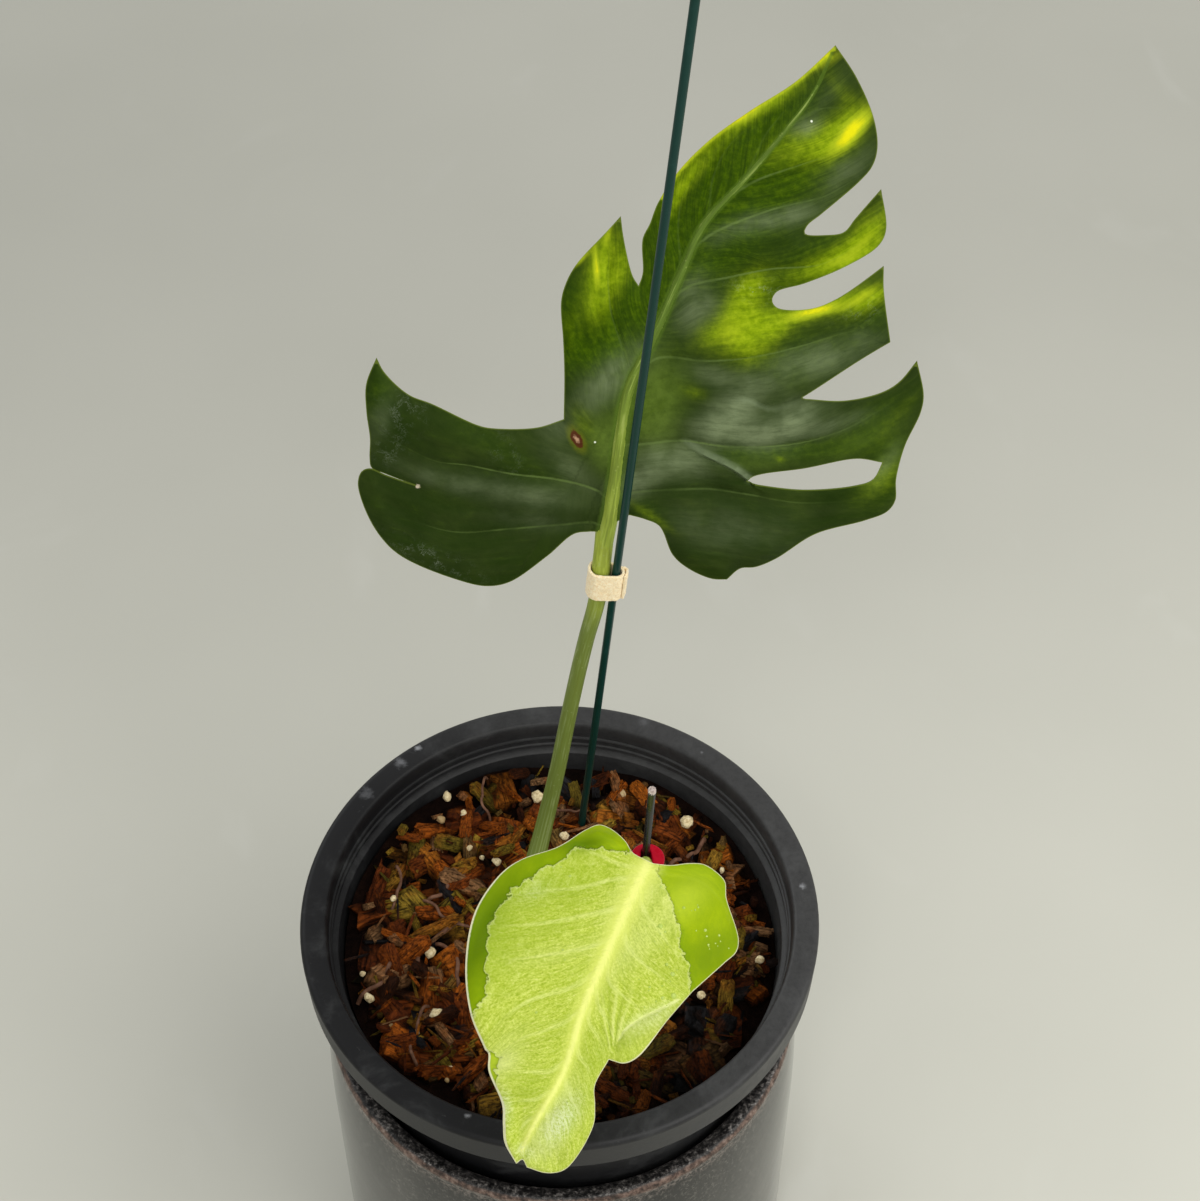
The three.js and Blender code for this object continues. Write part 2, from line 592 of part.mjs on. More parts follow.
// An outline round two circles that stand side by side, as a strap is pulled round two bars.
function roundTwo(a, radiusA, b, radiusB, steps) {
  const [dx, dy] = [b.x - a.x, b.y - a.y];
  const heading = Math.atan2(dy, dx);
  const spread = Math.acos((radiusA - radiusB) / Math.hypot(dx, dy));
  const points = [];
  for (let i = 0; i <= steps; i += 1) {
    const turn = heading + spread + (2 * Math.PI - 2 * spread) * i / steps;
    points.push(new THREE.Vector2(a.x + radiusA * Math.cos(turn), a.y + radiusA * Math.sin(turn)));
  }
  for (let i = 0; i <= steps; i += 1) {
    const turn = heading - spread + 2 * spread * i / steps;
    points.push(new THREE.Vector2(b.x + radiusB * Math.cos(turn), b.y + radiusB * Math.sin(turn)));
  }
  return points;
}

// Where a strap or clip goes round a stalk and the wire beside it: its origin lies on
// the stalk at that height, x points to the wire, and z runs between the two directions.
function besideWire(stalkPoints, foot, direction, height) {
  const stalk = new THREE.CatmullRomCurve3(stalkPoints, false, 'centripetal');
  const share = stalk.getPoints(600).findIndex((point) => point.z > height) / 600;
  const centre = stalk.getPoint(share);
  const wire = foot.clone().addScaledVector(direction, (height - foot.z) / direction.z);
  const axis = stalk.getTangent(share).add(direction).normalize();
  const across = wire.sub(centre);
  across.addScaledVector(axis, -across.dot(axis));
  const gap = across.length();
  across.normalize();
  const back = new THREE.Vector3().crossVectors(axis, across);
  const basis = new THREE.Matrix4().makeBasis(across, back, axis);
  const turn = new THREE.Quaternion().setFromRotationMatrix(basis);
  return { centre, axis, turn, wire: new THREE.Vector2(gap, 0) };
}

function placeBand(mesh, place, width) {
  mesh.quaternion.copy(place.turn);
  mesh.position.copy(place.centre).addScaledVector(place.axis, -width / 2);
  plant.add(mesh);
}

const onStalk = new THREE.Vector2(0, 0);
const [mainStalkRadius, newStalkRadius] = [mainRadii.at(-1), newRadii.at(-1)];

// Tie: a closed strap round the stalk and the stake, with its free end standing off on the right.
const tieWidth = 12;
const tieStrap = 0.8;
const tieRoom = 0.5;
const tieLevel = 121.4;
const tiePlace = besideWire(mainStalk, stakeFoot, stakeDirection, tieLevel);
const innerStalk = mainStalkRadius + tieRoom;
const innerStake = stakeDiameter / 2 + tieRoom;
const tieShape = new THREE.Shape(
  roundTwo(onStalk, innerStalk + tieStrap, tiePlace.wire, innerStake + tieStrap, 12));
tieShape.holes.push(new THREE.Path(roundTwo(onStalk, innerStalk, tiePlace.wire, innerStake, 12)));
const tieLoop = new THREE.ExtrudeGeometry(tieShape, { depth: tieWidth, bevelEnabled: false });
const tieRight = tiePlace.wire.x + innerStake + tieStrap;
const tieEnd = [[-0.7, -1.2], [0.6, -0.9], [1.5, 0.6], [1.6, 3.2], [0.8, 3.2], [0.7, 1], [-0.4, -0.1]];
const tieEndShape = new THREE.Shape(tieEnd.map(([x, y]) => new THREE.Vector2(tieRight + x, y)));
const tieFlap = new THREE.ExtrudeGeometry(tieEndShape, { depth: tieWidth, bevelEnabled: false });
const tieSolid = toSolid(tieLoop).add(toSolid(tieFlap));
placeBand(namedMesh('tie_band', toGeometry(tieSolid), finish(0xf2dfa6, 0.95)), tiePlace, tieWidth);

// Clip: a thick ring round the young leaf's stalk and the short rod.
const clipRadius = 5.6;
const clipHeight = 6;
const clipRoom = 0.5;
const clipLevel = 59;
const clipShift = -0.5;              // its outside is off centre, to the viewer's right
const clipPlace = besideWire(newStalk, rodFoot, rodDirection, clipLevel);
const clipShape = new THREE.Shape();
clipShape.absarc(clipPlace.wire.x / 2, clipShift, clipRadius, 0, 2 * Math.PI);
clipShape.holes.push(new THREE.Path(
  roundTwo(onStalk, newStalkRadius + clipRoom, clipPlace.wire, rodDiameter / 2 + clipRoom, 8)));
const clipGeometry = new THREE.ExtrudeGeometry(
  clipShape, { depth: clipHeight, bevelEnabled: false, curveSegments: 12 });
placeBand(namedMesh('ring_clip', clipGeometry, finish(0xb8002a, 0.35)), clipPlace, clipHeight);

export default part;
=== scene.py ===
# %% [markdown]
# # A potted monstera, dressed for its portrait
# The measured model of this plant is already made: two pots, bark, two stalks with their leaves,
# and the wires that hold them up. This lesson gives each of those pieces its fine shape and its
# finish. We start by loading the measured pieces, because everything that follows is built on them.
# Blender works in metres here, so lengths are written in millimetres and multiplied by MM.

# %% Load the measured pieces
import math
import random

import bpy
import numpy as np
from mathutils import Matrix, Vector, noise
from mathutils.geometry import delaunay_2d_cdt


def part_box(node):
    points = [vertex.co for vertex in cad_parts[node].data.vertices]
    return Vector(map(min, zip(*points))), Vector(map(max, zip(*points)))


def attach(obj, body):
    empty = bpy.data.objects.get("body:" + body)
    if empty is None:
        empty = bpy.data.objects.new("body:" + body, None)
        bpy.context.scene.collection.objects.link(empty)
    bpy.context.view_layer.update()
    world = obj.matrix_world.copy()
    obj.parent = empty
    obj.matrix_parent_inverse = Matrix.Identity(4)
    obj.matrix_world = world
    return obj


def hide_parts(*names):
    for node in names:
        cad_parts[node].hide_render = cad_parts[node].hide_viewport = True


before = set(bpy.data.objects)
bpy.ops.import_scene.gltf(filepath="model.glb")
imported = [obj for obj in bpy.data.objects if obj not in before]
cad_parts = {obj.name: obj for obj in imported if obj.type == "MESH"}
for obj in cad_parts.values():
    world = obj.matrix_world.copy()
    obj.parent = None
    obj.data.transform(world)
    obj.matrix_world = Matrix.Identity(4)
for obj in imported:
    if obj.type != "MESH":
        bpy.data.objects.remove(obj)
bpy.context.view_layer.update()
MM = 0.001
RIM_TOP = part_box("nursery_pot")[1].z / MM
print("pieces:", ", ".join(sorted(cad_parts)))
print(f"the rim of the grower's pot is {RIM_TOP:.1f} mm above the table")

# %% [markdown]
# ## The camera
# The photographer stood in front of the pot and looked down on it at about fifty degrees. A long
# lens keeps the pot from spreading at the bottom of the picture. The angle and place below were
# worked out from the ellipse of the pot's rim, so the model lands where the photograph has it.

# %% Set up the camera
LENS_MM = 74.94
LOOK_DOWN = math.radians(50.83)
camera_place = Vector((13.99, -464.02, 740.64 + RIM_TOP)) * MM

bpy.ops.object.camera_add(location=camera_place, rotation=(math.pi / 2 - LOOK_DOWN, 0, 0))
camera = bpy.context.object
camera.name = "portrait_camera"
camera.data.lens = LENS_MM
camera.data.clip_start = 0.05
bpy.context.scene.camera = camera
print("camera at", tuple(round(v, 3) for v in camera_place))

# %% [markdown]
# ## Table and light
# The plant stands on a plain warm grey table that also fills the background. The light is that of
# a bright room: one big soft window high up in front on the right, a weaker one behind on the left,
# a pale card in front, a small ceiling lamp that gives waxy places their glint, and a grey
# surrounding that fills the shadows. Large lamps are used because small ones would throw hard
# shadows that the photograph doesn't have. The standard view transform keeps greens as they are.

# %% Lay the table
TABLE_METRES = 9


def deselect():
    """Leaves edit mode and lets go of everything, so that the next operator acts on its own piece."""
    if bpy.context.object and bpy.context.object.mode != "OBJECT":
        bpy.ops.object.mode_set(mode="OBJECT")
    bpy.ops.object.select_all(action="DESELECT")


deselect()
bpy.ops.mesh.primitive_plane_add(size=TABLE_METRES)
table = bpy.context.object
table.name = "table"

# %% Hang the lamps
PLANT_MIDDLE = Vector((0, 0, 0.3))
# where each lamp hangs and how wide it is in metres, its power in watts and its colour
LAMPS = {"window": ((1.3, -0.7, 1.9), 2, 30, (1, 0.985, 0.95)),
         "back_window": ((-1.2, 1.3, 1.3), 1, 7, (0.95, 0.98, 1)),
         "front_card": ((-0.3, -1.9, 0.9), 1, 5, (1, 0.99, 0.96)),
         "ceiling_lamp": ((-0.25, -1.15, 2), 0.22, 3.5, (1, 0.99, 0.97))}

for name, (place, size, power, color) in LAMPS.items():
    turn = (PLANT_MIDDLE - Vector(place)).to_track_quat("-Z", "Y").to_euler()
    bpy.ops.object.light_add(type="AREA", location=place, rotation=turn)
    lamp = bpy.context.object
    lamp.name = name
    lamp.data.size = size
    lamp.data.energy = power
    lamp.data.color = color

world = bpy.data.worlds.new("room")
world.use_nodes = True
world.node_tree.nodes["Background"].inputs["Color"].default_value = (0.98, 0.98, 0.95, 1)
world.node_tree.nodes["Background"].inputs["Strength"].default_value = 0.64
bpy.context.scene.world = world
bpy.context.scene.view_settings.view_transform = "Standard"
print("lamps:", ", ".join(LAMPS))

# %% [markdown]
# ## Tools for shaping
# Round things are drawn the way a potter pulls a wall up: a disc is extruded ring by ring, and each
# ring is made wider or narrower. A finished piece has its place in its mesh, and its object stays
# at the origin, so that every pattern keeps to the piece and every piece keeps to the plant.

# %% Shaping helpers
def hold(piece):
    """Selects one piece alone."""
    deselect()
    piece.select_set(True)
    bpy.context.view_layer.objects.active = piece


def settle(piece):
    """Moves a piece's place into its mesh."""
    hold(piece)
    bpy.ops.object.transform_apply(location=True, rotation=True, scale=True)


def apply_all(piece):
    """Applies all the modifiers of a piece, in their order."""
    hold(piece)
    for modifier in list(piece.modifiers):
        bpy.ops.object.modifier_apply(modifier=modifier.name)


def face_outwards():
    """In edit mode, turns the front of every face to the outside."""
    bpy.ops.mesh.select_all(action="SELECT")
    bpy.ops.mesh.normals_make_consistent(inside=False)


def raise_rings(name, rings, sides):
    """A solid of revolution. rings are (radius, height) in mm, from the bottom up the outside and,
    if it is hollow, down the inside. Each ring is extruded from the one before, then resized."""
    deselect()
    radius, height = rings[0]
    bpy.ops.mesh.primitive_circle_add(
        vertices=sides, radius=radius * MM, fill_type="NGON", location=(0, 0, height * MM))
    piece = bpy.context.object
    piece.name = name
    bpy.ops.object.mode_set(mode="EDIT")
    for (radius, height), (wider, higher) in zip(rings, rings[1:]):
        rise = (0, 0, (higher - height) * MM)
        bpy.ops.mesh.extrude_region_move(TRANSFORM_OT_translate={"value": rise})
        scale = wider / radius
        bpy.ops.transform.resize(value=(scale, scale, 1), center_override=(0, 0, higher * MM))
    face_outwards()
    settle(piece)
    return piece


def smooth(piece, degrees=40):
    """Smooth shading, with a sharp edge only where faces meet at more than this angle."""
    hold(piece)
    bpy.ops.object.shade_smooth_by_angle(angle=math.radians(degrees))


def finished(piece, material, slot, *stands_for):
    """Gives a piece its material, hangs it under the root body, and hides the measured parts it stands for.
    """
    piece.data.materials.clear()
    piece.data.materials.append(material)
    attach(piece, "root")
    if stands_for:
        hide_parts(*stands_for)
    print(f"{piece.name}: {len(piece.data.polygons)} faces")

# %% [markdown]
# ## Tools for finishes
# Every finish is a small recipe of shader nodes. Writing node by node is long, so these helpers
# each put in one node and return its output, and a recipe reads like a list of what is mixed. All
# patterns are read from the object's own coordinates or from values stored on its points.

# %% Finish helpers
class Finish:
    """One material and the nodes that are being wired into it."""

    def __init__(self, name, even):
        """even holds what is alike all over the surface, by the names of the shader's sockets."""
        self.material = bpy.data.materials.new(name)
        self.material.use_nodes = True
        self.tree = self.material.node_tree
        self.shader = self.tree.nodes["Principled BSDF"]
        for socket, value in even.items():
            self.set(socket, value)

    def set(self, socket, value):
        """Sets one of the shader's sockets, or wires a node's output into it."""
        self.put(self.shader.inputs[socket], value)

    def put(self, socket, value):
        """Fills a socket: a node's output is wired in, and a name stands for a stored value."""
        if isinstance(value, str):
            value = self.stored(value)
        if isinstance(value, bpy.types.NodeSocket):
            self.tree.links.new(value, socket)
        elif isinstance(value, tuple) and len(value) == 3 and socket.type == "RGBA":
            socket.default_value = (*value, 1)
        else:
            socket.default_value = value

    def node(self, kind, sockets, **settings):
        made = self.tree.nodes.new("ShaderNode" + kind)
        for name, value in settings.items():
            setattr(made, name, value)
        for name, value in sockets.items():
            self.put(made.inputs[name], value)
        return made

    def place(self, stretch=(1, 1, 1)):
        """Object coordinates in metres, stretched along the axes."""
        coordinates = self.node("TexCoord", {}).outputs["Object"]
        return self.node("Mapping", {"Vector": coordinates, "Scale": stretch}).outputs["Vector"]

    def part(self, place, axis):
        """One of the three numbers of a place."""
        return self.node("SeparateXYZ", {"Vector": place}).outputs[axis]

    def towards(self, place, way):
        """How far a place lies along a direction."""
        return self.node("VectorMath", {0: place, 1: way}, operation="DOT_PRODUCT").outputs["Value"]

    def distance(self, place, spot):
        """How far a place is from a spot, in the units of the place."""
        return self.node("VectorMath", {0: place, 1: spot}, operation="DISTANCE").outputs["Value"]

    def stored(self, name, kind="Fac"):
        """A value that the mesh keeps on its points."""
        return self.node("Attribute", {}, attribute_name=name).outputs[kind]

    def noise(self, place, scale, detail=4, roughness=0.55, distortion=0):
        sockets = {"Vector": place, "Scale": scale, "Detail": detail, "Roughness": roughness,
                   "Distortion": distortion}
        return self.node("TexNoise", sockets).outputs["Fac"]

    def sum(self, operation, a, b=0, c=0):
        """One calculation, such as ADD or SINE."""
        return self.node("Math", {0: a, 1: b, 2: c}, operation=operation).outputs[0]

    def times(self, value, factor, plus=0):
        return self.sum("MULTIPLY_ADD", value, factor, plus)

    def between(self, value, low, high, out_low=0, out_high=1):
        """Turns a value from low to high into one from out_low to out_high, with soft ends."""
        return self.node("MapRange", {"Value": value, "From Min": low, "From Max": high,
                                      "To Min": out_low, "To Max": out_high},
                         interpolation_type="SMOOTHSTEP").outputs["Result"]

    def mix(self, share, under, over, way="MIX"):
        made = self.tree.nodes.new("ShaderNodeMix")
        made.data_type = "RGBA"
        made.blend_type = way
        self.put(made.inputs[0], share)
        self.put(made.inputs[6], under)
        self.put(made.inputs[7], over)
        return made.outputs[2]

    def some(self, share, amount, under, over):
        """Mixes in a colour by a share that is first made weaker by an amount."""
        return self.mix(self.times(share, amount), under, over)

    def tint(self, under, over, value, low, high, share_low=0, share_high=1):
        """Mixes in a colour by a share that changes while a value goes from low to high."""
        return self.mix(self.between(value, low, high, share_low, share_high), under, over)

    def dimmed(self, color, light):
        """A colour made darker or lighter by a number."""
        grey = self.node("CombineXYZ", {"X": light, "Y": light, "Z": light}).outputs[0]
        return self.mix(1, color, grey, "MULTIPLY")

    def shades(self, value, stops):
        """A colour ramp: stops are (position, colour)."""
        made = self.node("ValToRGB", {"Fac": value})
        ramp = made.color_ramp
        while len(ramp.elements) < len(stops):
            ramp.elements.new(0.5)
        for element, (position, color) in zip(ramp.elements, stops):
            element.position = position
            element.color = (*color, 1)
        return made.outputs["Color"]

    def bump(self, height, distance_mm, strength=1):
        """Fine relief. height is from 0 to 1, and distance_mm is how deep that is."""
        made = self.node("Bump", {"Height": height, "Distance": distance_mm * MM, "Strength": strength})
        self.set("Normal", made.outputs["Normal"])

# %% [markdown]
# The table's paint is a first, easy recipe: soft clouds of two greys, a few paler smudges and a
# slow swell in the surface, so that the background isn't one flat colour. It is also painted
# lighter towards the front and the right: a painted pool of the window's light.

# %% Paint the table
def table_paint():
    finish = Finish("table paint", {"Roughness": 0.75, "Specular IOR Level": 0.2})
    place = finish.place()
    clouds = finish.noise(place, 2.4, 3)
    paint = finish.shades(clouds, [(0.35, (0.425, 0.424, 0.378)), (0.65, (0.46, 0.458, 0.41))])
    smudges = finish.between(finish.noise(finish.place((1, 0.6, 1)), 16, 3, 0.5, 0.7), 0.6, 0.78)
    paint = finish.some(smudges, 0.35, paint, (0.49, 0.49, 0.45))
    # painted light: the paint is made lighter towards the front and the right, where the window's light falls
    painted_light_front = finish.between(finish.part(place, "Y"), -0.05, 0.6, 1.36, 1)
    painted_light_right = finish.between(finish.part(place, "X"), -0.4, 0.4, 0.92, 1.04)
    finish.set("Base Color", finish.dimmed(paint, finish.times(painted_light_front, painted_light_right)))
    finish.bump(finish.noise(place, 7, 4, 0.5, 0.4), 6, 0.35)
    return finish.material


table.data.materials.append(table_paint())

# %% [markdown]
# ## The cover pot
# The outer pot is thick glazed stoneware. Its wall is almost straight and is drawn in a little at
# the mouth, and its lip is a broad ledge that slopes inwards. The wall carries a glossy smoky glaze
# that has pooled in soft clouds. On the ledge the glaze is thin and has broken into coarse dark
# specks, and along the edge it shows a rusty line. It is pulled up ring by ring, and rounded by the
# rings themselves at the foot and the lip.

# %% Pull up the cover pot
COVER_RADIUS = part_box("cover_pot")[1].x / MM
COVER_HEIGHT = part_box("cover_pot")[1].z / MM
COVER_WALL = 8
COVER_FLOOR = 12
COVER_SIDES = 160


def cover_rings():
    """Each list is of steps inwards from a wall and heights above the table or below the top."""
    outer, inner = COVER_RADIUS, COVER_RADIUS - COVER_WALL
    foot = ((6, 0), (4.2, 0.3), (2.6, 1.2), (1.6, 2.7), (1, 5), (0.55, 11), (0.1, 20), (0, 32))
    wall = ((0, 66), (0, 48), (0.25, 34), (0.8, 20), (1.35, 10), (1.85, 4.2), (2.05, 2.4), (2.35, 1.3),
            (2.9, 0.5), (3.5, 0.1), (4.2, 0), (5.5, 0.4))
    inside = ((-0.8, 1.3), (0.2, 2), (0.9, 3.2), (1, 5), (0.5, 18), (0, 34))
    floor = ((0, 6), (0.8, 3), (2.4, 0.9), (4, 0))
    rings = [(outer - inwards, height) for inwards, height in foot]
    rings += [(outer - inwards, COVER_HEIGHT - depth) for inwards, depth in wall]
    rings += [(inner - inwards, COVER_HEIGHT - depth) for inwards, depth in inside]
    return rings + [(inner - inwards, COVER_FLOOR + height) for inwards, height in floor]


cover_pot = raise_rings("stoneware_pot", cover_rings(), COVER_SIDES)
smooth(cover_pot, 35)
print("cover pot, mm across:", round(cover_pot.dimensions.x / MM, 1))

# %% Glaze the cover pot
def glaze():
    finish = Finish("smoky glaze", {"Specular IOR Level": 0.3, "Coat Weight": 0.06, "Coat Roughness": 0.05})
    place = finish.place()
    drift = finish.noise(finish.place((1, 1, 0.25)), 30, 5, 0.6, 0.4)
    wall = finish.shades(drift, [(0.32, (0.006, 0.0055, 0.005)), (0.5, (0.0135, 0.0127, 0.0115)),
                                 (0.68, (0.038, 0.035, 0.031))])
    granules = finish.noise(place, 620, 4, 0.75)
    wall = finish.tint(wall, (0.13, 0.122, 0.108), granules, 0.52, 0.66, 0, 0.6)
    wall = finish.tint(wall, (0.004, 0.0038, 0.0035), granules, 0.47, 0.34, 0, 0.75)
    waver = finish.noise(place, 110, 4)
    level = finish.times(waver, 1.6 * MM, finish.part(place, "Z"))
    on_edge = finish.between(level, (COVER_HEIGHT - 3.2) * MM, (COVER_HEIGHT - 1.4) * MM)
    thin_glaze = finish.between(level, (COVER_HEIGHT - 9) * MM, (COVER_HEIGHT - 3) * MM, 0, 0.6)
    broken = finish.times(thin_glaze, finish.between(granules, 0.42, 0.6))
    wall = finish.mix(broken, wall, (0.2, 0.165, 0.145))
    grains = finish.noise(place, 560, 3, 0.75)
    ledge = finish.shades(grains, [(0.4, (0.006, 0.0055, 0.0055)), (0.5, (0.028, 0.026, 0.025)),
                                   (0.58, (0.085, 0.078, 0.073)), (0.7, (0.28, 0.26, 0.245))])
    streaks = finish.noise(place, 420, 4, 0.65)
    rust = finish.shades(streaks, [(0.34, (0.02, 0.013, 0.01)), (0.46, (0.07, 0.042, 0.032)),
                                   (0.58, (0.16, 0.105, 0.082)), (0.75, (0.3, 0.235, 0.2))])
    sideways = finish.node("VectorMath", {0: place, 1: (1, 1, 0)}, operation="MULTIPLY")
    radius = finish.distance(sideways.outputs["Vector"], (0, 0, 0))
    wobble = finish.times(waver, 1.6 * MM, radius)
    inward = finish.between(wobble, (COVER_RADIUS - 2.6) * MM, (COVER_RADIUS - 1.8) * MM, 1, 0)
    band = finish.mix(on_edge, wall, rust)
    finish.set("Base Color", finish.mix(finish.times(inward, on_edge), band, ledge))
    rough = finish.times(grains, 0.3, 0.2)
    finish.set("Roughness", finish.times(rough, on_edge, 0.1))
    pits = finish.times(grains, on_edge)
    swell = finish.noise(place, 60, 2)
    finish.bump(finish.times(swell, 0.25, pits), 0.7, 0.8)
    return finish.material


finished(cover_pot, glaze(), "glaze", "cover_pot")

# %% [markdown]
# ## The grower's pot
# A thin black moulded pot hangs in the cover pot. Its rim folds out into a skirt, and inside the
# rim a ledge and two low ribs run round the wall. It is pulled up from its foot, over the rim and
# down the inside. The drain holes in its bottom are cut with a Boolean, as they would be drilled.

# %% Pull up the grower's pot
POT_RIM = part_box("nursery_pot")[1].x / MM
POT_HEIGHT = RIM_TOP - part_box("nursery_pot")[0].z / MM
POT_FOOT = 60
POT_NECK = 79
SKIRT = 14
POT_SIDES = 144


def grower_rings():
    """The foot's heights count from the pot's bottom, and all others from the skirt's lower edge."""
    foot = ((-1, 0), (0.6, 0.6), (1.5, 2))
    shoulder = ((-0.3, -4), (0, -1.5), (1.4, -0.7), (2.6, 0.5), (3.2, 10), (3.4, 11.4))
    skirt = ((3, 11.4), (2.2, 10.6), (2, 0.4), (1.7, 0), (0.8, 0), (0.5, 0.4), (0.05, 11.6), (0, 12.3),
             (0.25, 13.1), (0.8, 13.65), (1.5, 13.95), (2.2, 14), (7.4, 14), (8.1, 13.85), (8.7, 13.4),
             (9.1, 12.6))
    ledge = ((1.6, 10.8), (1.5, 7.1), (0.9, 6.9), (0.7, 6.5), (0.9, 6.1), (1.3, 5.8), (1.2, 3.6),
             (0.6, 3.3), (0.5, 2.9), (1, 2.5), (1, 1.6), (0.7, 1.1), (-0.9, 0.6), (-1.3, 0.2), (-1.5, -0.8))
    bottom = ((0, 3), (-1.4, 1.8))
    rings = [(POT_FOOT + step, height - POT_HEIGHT) for step, height in foot]
    rings += [(POT_NECK + step, height - SKIRT) for step, height in shoulder]
    rings += [(POT_RIM - step, height - SKIRT) for step, height in skirt]
    rings += [(POT_NECK + step, height - SKIRT) for step, height in ledge]
    rings += [(POT_FOOT + step, height - POT_HEIGHT) for step, height in bottom]
    return [(radius, RIM_TOP + height) for radius, height in rings]


grower_pot = raise_rings("black_pot", grower_rings(), POT_SIDES)

# %% Drill the drain holes
DRAINS, DRAIN_RADIUS, DRAIN_RING = 8, 4, 44
DRILL_LENGTH = 10


def cut_away(piece, tool):
    """Takes the shape of one piece out of another."""
    cut = piece.modifiers.new("cut", "BOOLEAN")
    cut.operation = "DIFFERENCE"
    cut.object = tool
    apply_all(piece)
    bpy.data.objects.remove(tool)


def drill_holes(pot):
    for number in range(DRAINS):
        deselect()
        turn = 2 * math.pi * number / DRAINS
        x, y = DRAIN_RING * MM * math.cos(turn), DRAIN_RING * MM * math.sin(turn)
        bpy.ops.mesh.primitive_cylinder_add(
            vertices=24, radius=DRAIN_RADIUS * MM, depth=DRILL_LENGTH * MM,
            location=(x, y, (RIM_TOP - POT_HEIGHT) * MM))
        cut_away(pot, bpy.context.object)


drill_holes(grower_pot)
smooth(grower_pot, 32)

# %% Finish the black plastic
# x and y of a white spot on the rim, its size and how clear it is
RIM_SPOTS = (
    (-52.7, 70, 2.4, 0.6), (-58.5, 63.5, 4.2, 0.3), (85, 10.6, 2.2, 0.75), (-29.3, -78, 1.8, 0.5),
    (51, 68, 1.2, 0.35), (-70, 50, 5, 0.15), (30, 82, 4, 0.15))


def black_plastic():
    finish = Finish("black pot plastic", {})
    place = finish.place()
    dust = finish.between(finish.noise(place, 38, 6, 0.7, 0.4), 0.48, 0.74)
    grain = finish.noise(place, 1500, 2)
    base = finish.some(dust, 0.6, (0.009, 0.009, 0.01), (0.058, 0.06, 0.061))
    scuffs = finish.between(finish.noise(finish.place((1, 1, 6)), 210, 6, 0.78, 0.8), 0.63, 0.75)
    base = finish.some(scuffs, 0.4, base, (0.16, 0.16, 0.165))
    frayed = finish.noise(place, 420, 5, 0.75)
    for x, y, size, clear in RIM_SPOTS:
        gap = finish.distance(place, (x * MM, y * MM, RIM_TOP * MM))
        gap = finish.times(frayed, size * 1.6 * MM, gap)
        base = finish.tint(base, (0.42, 0.43, 0.46), gap, size * 0.8 * MM, size * 1.5 * MM, clear, 0)
    # painted sheen: the rim is painted lighter towards the right and the back, where it mirrors the window,
    # mottled by the frayed noise
    across = finish.towards(place, (1, 0.4, 0))
    painted_sheen_right = finish.between(across, -60 * MM, 85 * MM, 0, 0.4)
    painted_sheen_right = finish.times(painted_sheen_right, finish.between(frayed, 0.3, 0.6, 0.6, 1))
    finish.set("Base Color", finish.mix(painted_sheen_right, base, (0.085, 0.085, 0.085)))
    finish.set("Roughness", finish.times(dust, 0.2, 0.42))
    finish.set("Specular IOR Level", finish.between(across, -85 * MM, 60 * MM, 0.16, 0.32))
    finish.bump(finish.times(dust, 0.3, grain), 0.06, 0.6)
    return finish.material


finished(grower_pot, black_plastic(), "pot_plastic", "nursery_pot")

# %% [markdown]
# ## The bark mix
# The pot is filled with chipped bark. Chips of six to seventeen millimetres lie over each other at
# all angles, red-brown and orange, and painted shade makes them nearly black in the gaps. Between
# them lie crumbs, thin splinters, pale balls of perlite, and a few thin roots. The mix is heaped up
# towards the back and the left and has painted shade at the front right, where the pot's wall
# shades it. A bed, painted nearly black as the deep shade between the chips, fills the pot below.
# Six chips, three crumbs and two splinters are modelled from a cube that is subdivided with a
# fractal shake. Well over a thousand copies are then strewn in layers by a seeded rule, so that the
# heap is the same each time. A ring round the stem is kept free of all but the lowest ones.

# %% Make the bed under the chips
SOIL_DEPTH = 23
BED_DROP = 3.5
BED_SIDES = 72
BACK_RISE, LEFT_RISE, MOUND_HEIGHT = 6, 4.5, 1.5
neck_inside = POT_NECK - 1.8


def heap(x, y):
    """How much higher than its front the mix lies, in mm: it is heaped up to the back and the left,
    and has soft mounds."""
    slope = BACK_RISE * np.clip((y + 10) / 80, 0, 1) + LEFT_RISE * np.clip((-x - 5) / 65, 0, 1)
    return slope + MOUND_HEIGHT * np.sin(x / 9 + 1) * np.cos(y / 8 + 0.5)


def bed_rings():
    """The bed keeps to the pot's wall, which widens evenly from its foot to its neck."""
    slope = (POT_NECK - POT_FOOT - 1.5) / (POT_HEIGHT - SKIRT - 3.5)
    foot = 2.1 - POT_HEIGHT
    top = -SOIL_DEPTH - BED_DROP
    rings = [(POT_FOOT - 3, foot)]
    rings += [(neck_inside + slope * (SKIRT + 1.5 + height), height) for height in (foot + 4, -120, -60, top)]
    rings += [(radius, top + 0.4) for radius in (70, 60, 50, 40, 30, 20, 10, 2)]
    return [(radius, RIM_TOP + height) for radius, height in rings]


bark_bed = raise_rings("bark_bed", bed_rings(), BED_SIDES)
for corner in bark_bed.data.vertices:
    if corner.co.z > (RIM_TOP - SOIL_DEPTH - BED_DROP - 1) * MM:
        corner.co.z += heap(corner.co.x / MM, corner.co.y / MM) * MM

# %% Shape the chips
def points_and_faces(piece):
    """A mesh as arrays, for strewing copies of it."""
    points = np.array([corner.co for corner in piece.data.vertices])
    faces = np.array([list(face.vertices) for face in piece.data.polygons])
    bpy.data.objects.remove(piece)
    return points, faces


